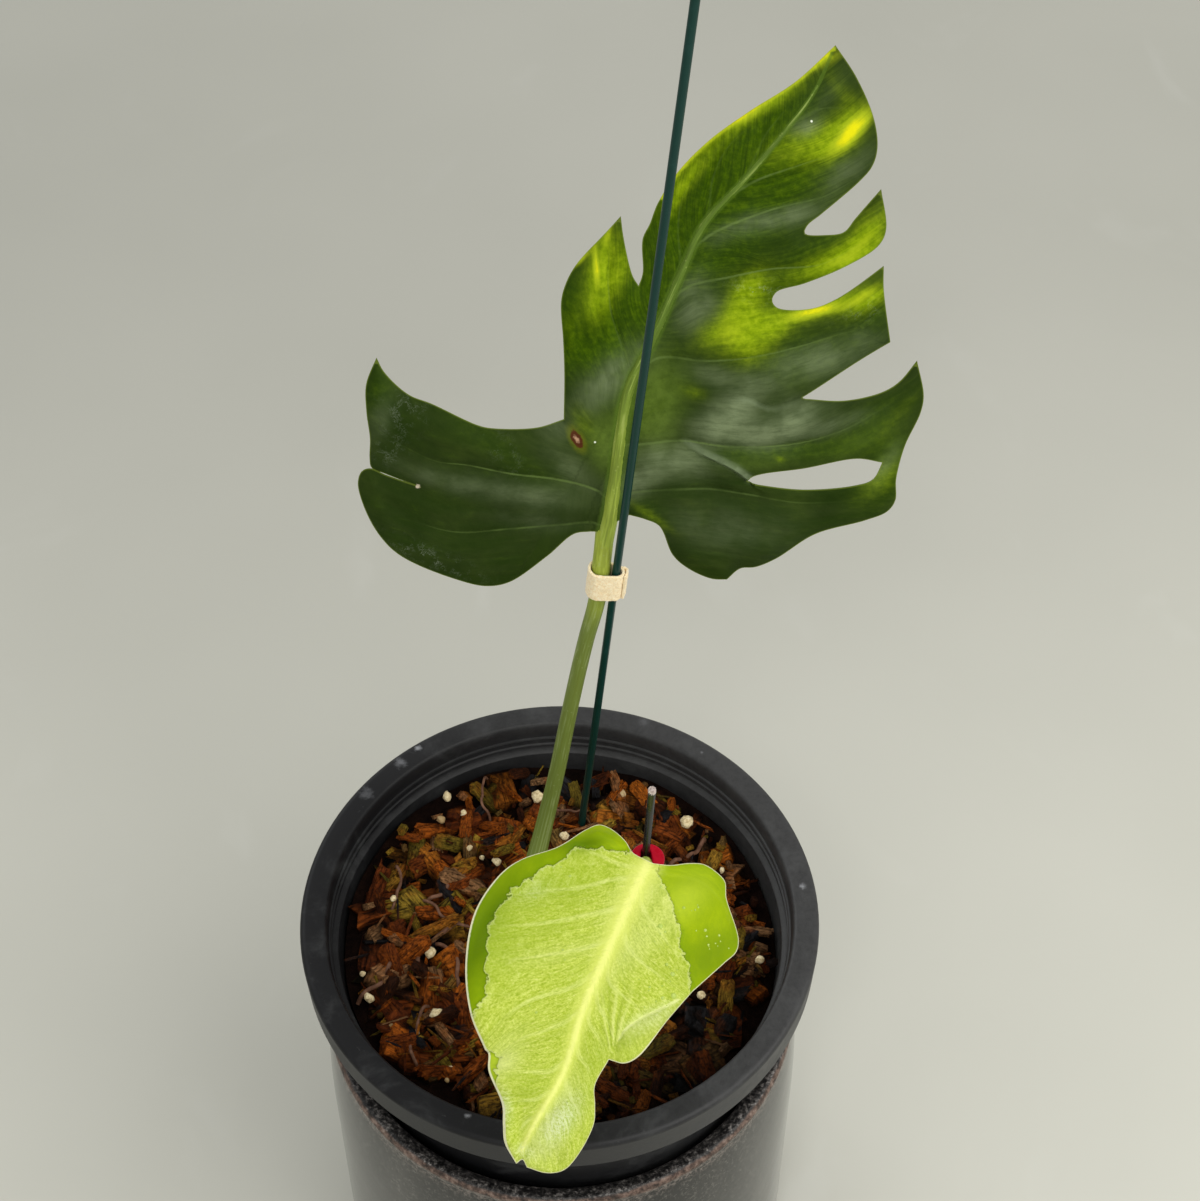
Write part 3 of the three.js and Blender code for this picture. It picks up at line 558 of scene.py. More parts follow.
def bark_piece(name, size, cuts, shake, stretch, seed):
    """A squat block, cut up with a fractal shake and then drawn out lengthwise, so that its
    ridges run along it and its ends are ragged, as in split bark."""
    deselect()
    bpy.ops.mesh.primitive_cube_add(size=1)
    chip = bpy.context.object
    chip.name = name
    chip.scale = [side * MM for side in size]
    settle(chip)
    bpy.ops.object.mode_set(mode="EDIT")
    bpy.ops.mesh.subdivide(number_cuts=cuts, fractal=shake, fractal_along_normal=0.35, seed=seed)
    bpy.ops.transform.vertex_random(offset=0.35 * MM, uniform=0.6, normal=0, seed=seed)
    bpy.ops.transform.resize(value=(stretch, 1, 1), center_override=(0, 0, 0))
    bpy.ops.mesh.quads_convert_to_tris()
    bpy.ops.object.mode_set(mode="OBJECT")
    return points_and_faces(chip)


# the sides of a chip's block in mm, and how many times longer it is drawn
CHIP_SHAPES = (
    ((4.4, 5.6, 1.9), 2.5), ((4, 3.8, 2.1), 3), ((5, 6.4, 1.6), 2), ((3.6, 2.6, 1.8), 4.2),
    ((4.6, 4.8, 2.6), 2.2), ((5, 5.2, 1.4), 2.6))
CRUMBS, CRUMB_SIZE = 3, (4, 5, 3)
SPLINTERS, SPLINTER_SIZE = 2, (2.2, 1, 0.8)

patterns = {
    "chip": [bark_piece(f"chip {n}", size, 4, 4.2, stretch, 11 + n)
             for n, (size, stretch) in enumerate(CHIP_SHAPES)],
    "crumb": [bark_piece(f"crumb {n}", CRUMB_SIZE, 1, 3, 1.5, 40 + n) for n in range(CRUMBS)],
    "splinter": [bark_piece(f"splinter {n}", SPLINTER_SIZE, 1, 0.6, 6, 60 + n) for n in range(SPLINTERS)],
}
for kind, shapes in patterns.items():
    print(f"{len(shapes)} kinds of {kind} with {len(shapes[0][1])} faces each")

# %% Make one mesh of many copies
def piece_of(name, points, faces):
    """A new piece from its points in metres and the faces between them."""
    mesh = bpy.data.meshes.new(name)
    mesh.from_pydata(points, [], faces)
    piece = bpy.data.objects.new(name, mesh)
    bpy.context.collection.objects.link(piece)
    return piece


def keep(piece, name, values):
    """Stores a number or a vector on each point of a piece, where its finish can read it."""
    kind, part = ("FLOAT_VECTOR", "vector") if np.ndim(values) == 2 else ("FLOAT", "value")
    piece.data.attributes.new(name, kind, "POINT").data.foreach_set(part, np.ravel(values))


def strewn(name, placed):
    """One mesh of many copies. placed holds (pattern, matrix, tone). Each point keeps the tone of
    its copy, and its spot on the pattern as grain, so that the finish can follow each chip."""
    points, faces, tones, grains, start = [], [], [], [], 0
    for (corners, triangles), matrix, tone in placed:
        points.append(corners @ np.array(matrix.to_3x3()).T + np.array(matrix.translation))
        faces.append(triangles + start)
        tones.append(np.full(len(corners), tone))
        grains.append(corners / MM + tone * 60)
        start += len(corners)
    piece = piece_of(name, np.concatenate(points), np.concatenate(faces).tolist())
    keep(piece, "tone", np.concatenate(tones))
    keep(piece, "grain", np.concatenate(grains))
    return piece


def anywhere(draw, reach):
    """A random spot within a reach of the pot's axis, in mm."""
    radius = reach * math.sqrt(draw.random())
    turn = draw.uniform(0, 2 * math.pi)
    return radius * math.cos(turn), radius * math.sin(turn)


def lying(draw, x, y, lift, size, tilt):
    """The place of one piece of the mix: millimetres from the pot's axis, and above the heap."""
    spin = Matrix.Rotation(draw.uniform(0, 2 * math.pi), 4, "Z")
    nod = Matrix.Rotation(draw.uniform(-tilt, tilt), 4, "X")
    roll = Matrix.Rotation(draw.uniform(-tilt, tilt), 4, "Y")
    stretch = Matrix.Diagonal((size, size * draw.uniform(0.6, 1.1), size * draw.uniform(0.7, 1.3), 1))
    spot = Matrix.Translation(Vector((x, y, RIM_TOP - SOIL_DEPTH + heap(x, y) + lift)) * MM)
    return spot @ spin @ (nod @ roll) @ stretch

# %% Strew them
# how many, which kind, the lowest and highest place in mm, the smallest and largest size, the tilt
LAYERS = (
    (300, "crumb", -5, -3, 1.6, 2.6, 0.5), (200, "chip", -3.5, -1, 0.8, 1.35, 0.5),
    (150, "chip", -1.5, 1.4, 0.7, 1.25, 0.8), (85, "chip", 0.6, 3.2, 0.5, 1, 0.9),
    (380, "crumb", -2.5, 2.2, 0.25, 0.75, 1.2), (240, "splinter", -0.5, 3.4, 0.4, 1.1, 0.5))
STEM_RADIUS = 9
BURIED = -2.5

stem_low, stem_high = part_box("stem")
stem_centre = ((stem_low + stem_high) / 2 / MM).to_2d()


def bark_layers(draw):
    """The places of all the pieces of bark. Round the stem only buried ones are kept."""
    placed = []
    for count, kind, low, high, small, large, tilt in LAYERS:
        for _ in range(count):
            size = draw.uniform(small, large)
            x, y = anywhere(draw, neck_inside - 2.5 - 5 * min(size, 1.2))
            lift = draw.uniform(low, high)
            matrix = lying(draw, x, y, lift, size, tilt)
            copy = (draw.choice(patterns[kind]), matrix, draw.random())
            beside_stem = math.hypot(x - stem_centre.x, y - stem_centre.y) < STEM_RADIUS + 2
            if not beside_stem or lift < BURIED:
                placed.append(copy)
    print("pieces of bark:", len(placed))
    return placed


bark_chips = strewn("bark_chips", bark_layers(random.Random(21)))
smooth(bark_chips, 38)
spots = np.array([corner.co for corner in bark_chips.data.vertices]) / MM
# how deep each point lies below the heap's surface; the finish paints shade in the gaps by it
keep(bark_chips, "depth", heap(spots[:, 0], spots[:, 1]) - spots[:, 2] + RIM_TOP - SOIL_DEPTH)

# %% Colour the bark
BARK_SHADES = (
    (0, (0.01, 0.01, 0.012)), (0.07, (0.022, 0.021, 0.022)), (0.1, (0.03, 0.01, 0.004)),
    (0.26, (0.11, 0.024, 0.005)), (0.42, (0.21, 0.048, 0.007)), (0.58, (0.36, 0.088, 0.007)),
    (0.7, (0.3, 0.12, 0.014)), (0.8, (0.27, 0.17, 0.018)), (0.88, (0.12, 0.09, 0.012)),
    (0.93, (0.24, 0.11, 0.045)), (1, (0.27, 0.14, 0.06)))


def bark():
    finish = Finish("damp bark", {"Specular IOR Level": 0.08})
    place = finish.place()
    grain = finish.stored("grain", "Vector")
    along = finish.node("Mapping", {"Vector": grain, "Scale": (0.14, 1, 1)}).outputs["Vector"]
    fibres = finish.noise(along, 1.7, 6, 0.75, 0.6)
    color = finish.shades("tone", BARK_SHADES)
    warm = finish.between(finish.noise(place, 120, 3), 0.48, 0.68)
    color = finish.some(warm, 0.4, color, (0.36, 0.09, 0.008))
    crust = finish.between(finish.noise(grain, 0.7, 6, 0.8), 0.5, 0.64)
    color = finish.some(crust, 0.7, color, (0.02, 0.009, 0.005))
    pale = finish.between(finish.noise(along, 3.1, 5, 0.8), 0.62, 0.74)
    color = finish.some(pale, 0.25, color, (0.4, 0.19, 0.07))
    light = finish.between(fibres, 0.34, 0.62, 0.12, 1.45)
    # painted shade: the deeper a point lies below the heap's surface, the darker it is painted
    light = finish.times(light, finish.between("depth", -2.5, 2.5, 1.15, 0.06))
    # painted shade: the front right, where the pot's wall blocks the window, is painted darker
    towards_wall_shade = finish.towards(place, (500, -1000, 0))
    light = finish.times(light, finish.between(towards_wall_shade, 15, 75, 1, 0.3))
    finish.set("Base Color", finish.dimmed(color, light))
    finish.set("Roughness", finish.between(fibres, 0.3, 0.7, 0.45, 0.8))
    finish.bump(finish.times(crust, -0.4, fibres), 1.2, 1)
    return finish.material


def dark_bed():
    finish = Finish("bark bed", {"Roughness": 0.9, "Specular IOR Level": 0.05})
    spread = finish.noise(finish.place(), 190, 5, 0.7)
    # painted shade: the bed is nearly black, standing for the deep shade between the chips above it
    painted_gap_shade = finish.shades(spread, [(0.3, (0.002, 0.001, 0.001)), (0.7, (0.012, 0.005, 0.003))])
    finish.set("Base Color", painted_gap_shade)
    finish.bump(spread, 2.5)
    return finish.material


finished(bark_chips, bark(), "bark_mix")
smooth(bark_bed)
finished(bark_bed, dark_bed(), "bark_mix", "substrate")

# %% [markdown]
# ### Perlite and roots
# Perlite is popped volcanic glass: light, chalky balls of two to five millimetres. One ball is an
# ico sphere with a random shake, and it is copied. The balls that stand out in the photograph lie at
# their own spots, and the rest are strewn. The roots are thin bent tubes: curves with a round bevel.

# %% Strew the perlite
# x and y in mm, and the size, of the balls that stand out
SEEN_PEARLS = (
    (-8.7, 58.5, 1.15), (45.6, 48.3, 1.15), (-41.9, 57.2, 0.95), (-23.1, 30.5, 0.95), (-45.6, -6.9, 1),
    (-65.9, -25, 0.95), (-42.3, -30.2, 1.05), (69.9, -7.8, 0.8), (1.1, 41.6, 0.7), (-59.5, 14.8, 0.6),
    (57.9, 28.6, 0.6), (-35.6, 50.6, 0.6))
PEARL_RADIUS = 2.2
MORE_PEARLS = 26
ANY_WAY_UP = 3


def pearl_pattern():
    deselect()
    bpy.ops.mesh.primitive_ico_sphere_add(subdivisions=2, radius=PEARL_RADIUS * MM)
    ball = bpy.context.object
    bpy.ops.object.mode_set(mode="EDIT")
    bpy.ops.transform.vertex_random(offset=0.42 * MM, uniform=0.3, normal=0.6, seed=4)
    bpy.ops.object.mode_set(mode="OBJECT")
    return points_and_faces(ball)


def pearls(draw):
    ball = pearl_pattern()
    placed = [(ball, lying(draw, x, y, 3.2, size, ANY_WAY_UP), 0.3 * draw.random())
              for x, y, size in SEEN_PEARLS]
    for _ in range(MORE_PEARLS):
        x, y = anywhere(draw, neck_inside - 6)
        lift = draw.uniform(-0.6, 2.2)
        matrix = lying(draw, x, y, lift, draw.uniform(0.35, 0.75), ANY_WAY_UP)
        placed.append((ball, matrix, draw.random()))
    return placed


perlite = strewn("perlite", pearls(random.Random(8)))
smooth(perlite, 60)


def chalk():
    finish = Finish("perlite chalk", {"Roughness": 0.85})
    pores = finish.noise(finish.place(), 900, 4, 0.7)
    clean = finish.shades(pores, [(0.3, (0.42, 0.29, 0.13)), (0.55, (0.82, 0.68, 0.4)),
                                  (0.8, (0.95, 0.88, 0.68))])
    stain = finish.between("tone", 0.3, 0.9)
    finish.set("Base Color", finish.some(stain, 0.85, clean, (0.3, 0.17, 0.05)))
    finish.bump(pores, 0.35)
    return finish.material


finished(perlite, chalk(), "bark_mix")

# %% Bend a tube
def tube(name, points, radii, sides_step=3):
    """A bent round bar: a Bezier curve through points in mm with a radius at each, made a mesh. Its
    bevel is one millimetre deep, so that each point's radius is in millimetres too."""
    deselect()
    bpy.ops.curve.primitive_bezier_curve_add()
    line = bpy.context.object
    line.name = name
    line.data.dimensions = "3D"
    line.data.use_fill_caps = True
    line.data.bevel_depth = MM
    line.data.bevel_resolution = sides_step
    line.data.resolution_u = 10
    spline = line.data.splines[0]
    spline.bezier_points.add(len(points) - len(spline.bezier_points))
    for knot, point, radius in zip(spline.bezier_points, points, radii):
        knot.co = Vector(point) * MM
        knot.handle_left_type = knot.handle_right_type = "AUTO"
        knot.radius = radius
    hold(line)
    bpy.ops.object.convert(target="MESH")
    piece = bpy.context.object
    settle(piece)
    return piece


def join(name, pieces):
    """Makes one piece of several."""
    deselect()
    for piece in pieces:
        piece.select_set(True)
    bpy.context.view_layer.objects.active = pieces[0]
    bpy.ops.object.join()
    pieces[0].name = name
    return pieces[0]

# %% Lay a few roots
# x and y in mm, the way it sets out in radians, and its length in mm
ROOT_STARTS = (
    (-52, 20, -1.2, 34), (-38, 12, -1.9, 30), (-47, 0, -0.9, 26), (-44, -22, -1.4, 30), (-24, 48, 2.4, 22),
    (-10, 52, 0.3, 20), (48, 10, -1.7, 30), (36, 30, 0.4, 22), (-58, -6, -1.7, 24), (-50, 16, -0.6, 18),
    (-60, 32, -1.5, 22))
ROOT_KNOTS = 9


def root_line(draw, x, y, heading, length):
    """A root that creeps over the chips, dips between them, and goes under at both ends."""
    points = []
    for knot in range(ROOT_KNOTS):
        heading += draw.uniform(-0.5, 0.5)
        x += length / ROOT_KNOTS * math.cos(heading)
        y += length / ROOT_KNOTS * math.sin(heading)
        height = RIM_TOP - SOIL_DEPTH + heap(x, y) + 2.8 + draw.uniform(-1.4, 1.3)
        points.append((x, y, height - 4 if knot in (0, ROOT_KNOTS - 1) else height))
    return points


root_draw = random.Random(5)
root_tubes = []
for start in ROOT_STARTS:
    line = root_line(root_draw, *start)
    root_tubes.append(tube("root", line, [root_draw.uniform(0.45, 0.85)] * ROOT_KNOTS))
roots = join("roots", root_tubes)
smooth(roots, 60)


def root_skin():
    finish = Finish("root skin", {"Roughness": 0.7, "Specular IOR Level": 0.2})
    spread = finish.noise(finish.place(), 300, 4, 0.6)
    finish.set("Base Color", finish.shades(spread, [(0.3, (0.07, 0.028, 0.015)), (0.7, (0.22, 0.11, 0.065))]))
    finish.bump(spread, 0.2)
    return finish.material


finished(roots, root_skin(), "bark_mix")

# %% [markdown]
# ## Stem and stalks
# The stem is a short green stump, ringed with brown scars where old sheaths sat. The two leaf
# stalks rise from it. Stalks are bars that bend and change in thickness, and the quickest way to
# draw such a bar by hand is a Bezier curve with a round bevel and a radius at each of its points.
# Their points follow the measured model's and are counted from the top of the rim. The last few of
# each run on into its leaf.

# %% Model the stem
STEM_SIDES = 40
SCAR_HEIGHTS = (34, 38.2)
stem_top, stem_bottom = stem_high.z / MM, stem_low.z / MM


def stem_rings():
    """Heights count from the stem's foot, and then down from its top."""
    body = [(5.4, 0), (8.1, 6), (9, 14), (8.4, 22), (9, 29)]
    for height in SCAR_HEIGHTS:
        body += [(8.6, height - 0.8), (9, height), (8.5, height + 0.9)]
    crown = ((8.5, 3), (8.2, 1.6), (7.2, 0.4), (5, 0), (2, 0))
    rings = [(radius, stem_bottom + height) for radius, height in body]
    return rings + [(radius, stem_top - depth) for radius, depth in crown]


stem = raise_rings("stem_stump", stem_rings(), STEM_SIDES)
stem.location = (stem_centre.x * MM, stem_centre.y * MM, 0)
settle(stem)
smooth(stem, 60)


def stem_skin():
    finish = Finish("stem skin", {"Roughness": 0.55})
    place = finish.place()
    rings = finish.sum("SINE", finish.times(finish.part(place, "Z"), 1500))
    speckle = finish.noise(place, 300, 5, 0.65)
    green = finish.shades(speckle, [(0.3, (0.05, 0.07, 0.015)), (0.6, (0.15, 0.18, 0.04)),
                                    (0.8, (0.2, 0.13, 0.06))])
    finish.set("Base Color", finish.tint(green, (0.1, 0.05, 0.025), rings, 0.6, 1, 0, 0.7))
    finish.bump(finish.times(rings, 0.2, speckle), 0.5)
    return finish.material


finished(stem, stem_skin(), "stem_green", "stem")

# %% Follow a line
def nearest_on(points, line):
    """The nearest spot on a line to each point, how far along the line it is, from 0 to 1, and
    which way the line runs there."""
    best = np.full(len(points), np.inf)
    spots, ways = np.zeros_like(points), np.zeros_like(points)
    along = np.zeros(len(points))
    for number, (start, end) in enumerate(zip(line, line[1:])):
        run = end - start
        share = np.clip((points - start) @ run / (run @ run), 0, 1)
        spot = start + share[:, None] * run
        gap = np.linalg.norm(points - spot, axis=1)
        closer = gap < best
        best[closer] = gap[closer]
        spots[closer] = spot[closer]
        ways[closer] = run
        along[closer] = (number + share[closer]) / (len(line) - 1)
    return spots, along, ways


def distance_to(points, line):
    """How far each point lies from a line, and how far along the line its nearest spot is."""
    spots, along, _ = nearest_on(points, line)
    return np.linalg.norm(points - spots, axis=1), along

# %% Draw a smooth line
def flowing(points, step):
    """A smooth line through points, sampled at an even step. It bends as the measured lines do."""
    knots = [np.array(point, float) for point in points]
    ends = [2 * knots[0] - knots[1], *knots, 2 * knots[-1] - knots[-2]]
    fine = []
    for a, b, c, d in zip(ends, ends[1:], ends[2:], ends[3:]):
        t1 = np.linalg.norm(b - a) ** 0.5
        t2 = t1 + np.linalg.norm(c - b) ** 0.5
        t3 = t2 + np.linalg.norm(d - c) ** 0.5
        t = np.linspace(t1, t2, 24)[:, None]
        first = a + (b - a) * t / t1
        second = b + (c - b) * (t - t1) / (t2 - t1)
        third = c + (d - c) * (t - t2) / (t3 - t2)
        left = first + (second - first) * t / t2
        right = second + (third - second) * (t - t1) / (t3 - t1)
        fine.append(left + (right - left) * (t - t1) / (t2 - t1))
    fine = np.concatenate(fine)
    lengths = np.concatenate([[0], np.cumsum(np.linalg.norm(np.diff(fine, axis=0), axis=1))])
    count = max(1, round(lengths[-1] / step))
    even = np.linspace(0, lengths[-1], count + 1)
    return np.stack([np.interp(even, lengths, fine[:, axis]) for axis in range(fine.shape[1])], axis=1)


def lengthwise(piece, line):
    """Stores, for each point of a tube, its offset from the tube's middle line, and how far along
    that line it is, from 0 to 1. Patterns that read these run along the tube, however it bends."""
    step = 2
    middle = flowing(line, step)
    places = np.array([corner.co for corner in piece.data.vertices]) / MM
    spots, along, _ = nearest_on(places, middle)
    fibre = places - spots
    fibre[:, 2] += along * len(middle) * step * 0.06
    keep(piece, "fibre", fibre)
    keep(piece, "along", along)

# %% Draw the two stalks
TALL_STALK = (
    (-11.4, 15.4, -16.7), (-11.4, 15.5, -14), (-9.8, 20, -6), (-6, 29, 8), (-1.2, 36, 31), (4.5, 43, 65),
    (9.4, 47, 93), (13.1, 48.9, 112), (13.9, 49, 121.5), (14.5, 50, 128.5), (15.1, 52.3, 134),
    (15.6, 55.3, 139.5))
TALL_RADII = (4, 4, 3.7, 3.1, 2.8, 2.7, 2.7, 2.85, 3, 3, 3, 3)
YOUNG_STALK = (
    (-4.6, 8.6, -16.7), (-4.6, 8.5, -14), (-1, 5, -4), (12, -8, 22), (24, -18, 44), (27.9, -20, 52),
    (28.5, -20.4, 56), (28.7, -20.5, 60), (28.6, -21.2, 63.6), (27.24, -27.43, 67.7),
    (25.93, -32.55, 69.8), (24.87, -36.52, 70.96), (23.37, -40.98, 71.51))
YOUNG_RADII = (3, 3, 2.8, 2.3, 2.1, 2, 2, 2, 2, 2, 2, 1.9, 1.4)


def from_rim(points):
    """Points that count their height from the top of the rim, in the frame's own heights."""
    return [(x, y, z + RIM_TOP) for x, y, z in points]


def stalk_tube(name, points, radii, sides_step):
    """A tube whose points know their way along it."""
    piece = tube(name, points, radii, sides_step)
    lengthwise(piece, points)
    smooth(piece, 60)
    return piece


tall_stalk = stalk_tube("tall_stalk", from_rim(TALL_STALK), TALL_RADII, 8)
young_stalk = stalk_tube("young_stalk", from_rim(YOUNG_STALK), YOUNG_RADII, 7)

# %% Finish the stalks
def stalk_skin(name, start, end, low_color, high_color, fleck):
    """Green that turns from one colour to another along the stalk, with fine lengthwise fibres."""
    finish = Finish(name, {"Specular IOR Level": 0.25, "Specular Tint": (0.9, 1, 0.6)})
    place = finish.place()
    fibres = finish.noise(finish.stored("fibre", "Vector"), 1.3, 4, 0.6)
    clouds = finish.noise(place, 70, 3)
    rising = finish.between(finish.times(clouds, 0.15, "along"), start, end)
    color = finish.mix(rising, low_color, high_color)
    dark = tuple(part * 0.35 for part in high_color)
    color = finish.tint(color, dark, fibres, 0.42, 0.62, 0, 0.38)
    color = finish.tint(color, fleck, fibres, 0.45, 0.34, 0, 0.4)
    dots = finish.node("TexVoronoi", {"Vector": place, "Scale": 480}).outputs["Distance"]
    flecks = finish.between(dots, 0.08, 0.2, 1, 0)
    finish.set("Base Color", finish.some(flecks, 0.3, color, fleck))
    finish.set("Roughness", finish.between(clouds, 0.3, 0.7, 0.38, 0.52))
    finish.bump(fibres, 0.2)
    return finish.material


tall_skin = stalk_skin(
    "tall stalk skin", 0.82, 1, (0.15, 0.2, 0.04), (0.33, 0.4, 0.05), (0.34, 0.39, 0.17))
finished(tall_stalk, tall_skin, "stalk_green", "main_petiole")
young_skin = stalk_skin("young stalk skin", 0.2, 0.9, (0.2, 0.3, 0.05), (0.42, 0.54, 0.08), (0.5, 0.6, 0.3))
finished(young_stalk, young_skin, "stalk_pale", "new_petiole")

# %% [markdown]
# ## How the leaves are made
# A leaf is a thin blade with a cut outline, and what makes it look alive is its relief: the blade
# bends, its halves rise from the midrib, and the side veins pull it down in shallow grooves. The
# outline is drawn flat, in the leaf's own frame, with x across and y along. Blender's fill gives
# long slivers that can't bend, so the flat leaf is cut into small even triangles with Blender's own
# triangulator instead, which also keeps an edge along each guide line. Then each point is lifted.

# %% Lines that flow
def closed_loop(stretches, step):
    """An outline from smooth stretches. Each ends at the sharp point where the next one begins."""
    ends = [stretch[:1] for stretch in stretches[1:] + stretches[:1]]
    return np.concatenate([flowing(stretch + end, step)[:-1] for stretch, end in zip(stretches, ends)])


def round_again(loop):
    """A loop as a line that ends where it began."""
    return np.vstack([loop, loop[:1]])


def side_of(points, line):
    """1 where a point lies on the left of the way a flat line runs, and -1 on its right."""
    spots, _, ways = nearest_on(points, line)
    off = points - spots
    return np.sign(ways[:, 0] * off[:, 1] - ways[:, 1] * off[:, 0])


def beside(line, offset):
    """The same flat line moved sideways, to the left for a positive offset."""
    run = np.gradient(line, axis=0)
    run /= np.linalg.norm(run, axis=1)[:, None]
    return line + offset * np.column_stack([-run[:, 1], run[:, 0]])


def is_inside(points, loop):
    """Whether each point lies inside a loop."""
    inside = np.zeros(len(points), bool)
    x, y = points[:, 0], points[:, 1]
    for (x0, y0), (x1, y1) in zip(loop, np.roll(loop, -1, axis=0)):
        if y0 != y1:
            crossing = (y0 > y) != (y1 > y)
            inside ^= crossing & (x < (x1 - x0) * (y - y0) / (y1 - y0) + x0)
    return inside


def on_leaf(points, outline, holes):
    """Whether each point lies inside the outline and in none of the holes."""
    inside = is_inside(points, outline)
    for hole in holes:
        inside &= ~is_inside(points, hole)
    return inside

# %% Cut a flat leaf into even triangles
ROW_STEP = 0.866


def even_grid(outline, spacing, draw):
    """Points in rows that are shifted by half a step, as in even triangles, and shaken a little."""
    low, high = outline.min(0), outline.max(0)
    grid = []
    for number, y in enumerate(np.arange(low[1], high[1], spacing * ROW_STEP)):
        xs = np.arange(low[0] + (number % 2) * spacing / 2, high[0], spacing)
        grid.append(np.stack([xs, np.full(len(xs), y)], axis=1))
    grid = np.concatenate(grid)
    return grid + draw.uniform(-0.08, 0.08, grid.shape) * spacing


def cut_leaf(outline, holes, guides, spacing, draw):
    """Points and triangles of a flat leaf. Each outline, hole and guide line keeps its own edges."""
    loops = [outline, *holes]
    grid = even_grid(outline, spacing, draw)
    grid = grid[on_leaf(grid, outline, holes)]
    for line in [round_again(loop) for loop in loops] + guides:
        grid = grid[distance_to(grid, line)[0] > spacing * 0.6]
    corners, edges = [], []
    for loop in loops:
        start = len(corners)
        corners += list(loop)
        edges += [(start + i, start + (i + 1) % len(loop)) for i in range(len(loop))]
    for guide in guides:
        start = len(corners)
        corners += list(guide)
        edges += [(start + i, start + i + 1) for i in range(len(guide) - 1)]
    flat = [Vector(corner) for corner in corners + list(grid)]
    points, _, triangles, *_ = delaunay_2d_cdt(flat, edges, [], 0, 1e-5)
    points = np.array([tuple(point) for point in points])
    triangles = np.array(triangles)
    triangles = triangles[on_leaf(points[triangles].mean(1), outline, holes)]
    used, places = np.unique(triangles, return_inverse=True)
    return points[used], places.reshape(triangles.shape)

# %% [markdown]
# The cut triangles become a thin closed body: a copy above, a copy below turned over, and a wall
# along every edge that has only one triangle. A matrix then carries it from the leaf's own
# millimetres to its place on the plant.

# %% Give a flat leaf its body
def same_way_round(points, triangles):
    """The triangles with their corners all counted the same way round."""
    a, b, c = (points[triangles[:, corner]] for corner in range(3))
    turned = (b - a)[:, 0] * (c - a)[:, 1] - (b - a)[:, 1] * (c - a)[:, 0] < 0
    triangles = triangles.copy()
    triangles[turned] = triangles[turned][:, ::-1]
    return triangles


def facing_of(surface, triangles):
    """Which way a bent surface faces at each of its points."""
    corners = surface[triangles]
    facing = np.cross(corners[:, 1] - corners[:, 0], corners[:, 2] - corners[:, 0])
    normals = np.zeros_like(surface)
    for corner in range(3):
        np.add.at(normals, triangles[:, corner], facing)
    return normals / np.linalg.norm(normals, axis=1)[:, None]


def rim_of(triangles):
    """The sides that only one triangle has."""
    sides = np.concatenate([triangles[:, [0, 1]], triangles[:, [1, 2]], triangles[:, [2, 0]]])
    _, first, repeats = np.unique(np.sort(sides, axis=1), axis=0, return_index=True, return_counts=True)
    return sides[first[repeats == 1]]


def leaf_mesh(name, points, triangles, lift, top_half, under_half, to_plant, values):
    """A thin closed blade: the triangles above and below a bent surface, with a wall round each edge.
    lift, top_half and under_half are in mm, one number for each point. Also gives back the upper
    face's points and their normals on the plant, for what lies on the leaf."""
    triangles = same_way_round(points, triangles)
    surface = np.column_stack([points, lift])
    normals = facing_of(surface, triangles)
    top = surface + normals * top_half[:, None]
    under = surface - normals * under_half[:, None]
    count = len(points)
    rim = rim_of(triangles)
    walls = np.column_stack([rim[:, 0], rim[:, 0] + count, rim[:, 1] + count, rim[:, 1]])
    faces = triangles.tolist() + (triangles[:, ::-1] + count).tolist() + walls.tolist()
    turn = np.array(to_plant.to_3x3()).T
    place = np.concatenate([top, under]) * MM @ turn + np.array(to_plant.translation)
    leaf = piece_of(name, place, faces)
    for key, value in values.items():
        keep(leaf, key, np.tile(value, 2))
    keep(leaf, "under", np.repeat([0.0, 1.0], count))
    keep(leaf, "plan", np.column_stack([np.tile(points, (2, 1)), np.zeros(2 * count)]))
    smooth(leaf, 50)
    print(f"{name}: {count} points on each face")
    return leaf, place[:count], normals @ turn


def leaf_frame(base, along, up):
    """The matrix from a leaf's own millimetres, across, along and up, to its place on the plant."""
    across = along.cross(up)
    turn = Matrix((across, along, up)).transposed().to_4x4()
    return Matrix.Translation((Vector(base) + Vector((0, 0, RIM_TOP))) * MM) @ turn

# %% [markdown]
# Relief and colour patches are both drawn as soft hills, because a hill is quick to describe: where
# its top is, how long and wide it is, which way it lies, and how high it is.

# %% Raise hills and folds
def hills(points, shapes):
    """The height of soft hills. Each is (x, y, half length, half width, turn in degrees, height)."""
    total = np.zeros(len(points))
    for x, y, long, wide, turn, height in shapes:
        way = np.array([math.cos(math.radians(turn)), math.sin(math.radians(turn))])
        off = points - (x, y)
        along, across = off @ way, off @ np.array([-way[1], way[0]])
        total += height * np.exp(-(along / long) ** 2 - (across / wide) ** 2)
    return total


def patches(points, kinds):
    """How strong each kind of patch is at each point."""
    return {kind: hills(points, shapes) for kind, shapes in kinds.items()}


def shelf(points, line, height, reach):
    """A fold that starts softly at the line's first point: the blade on the left of the line stands
    up, the blade on its right sinks, and both level out within the reach."""
    gap, along = distance_to(points, line)
    step = np.clip(side_of(points, line) * gap / 0.5, -1, 1)
    return height / 2 * step * np.exp(-gap / reach) * np.clip(along * 3, 0, 1)

# %% Find the veins
def rib_offset(points, midrib):
    """How far each point lies across from the midrib at its own height."""
    return points[:, 0] - np.interp(points[:, 1], midrib[:, 1], midrib[:, 0])


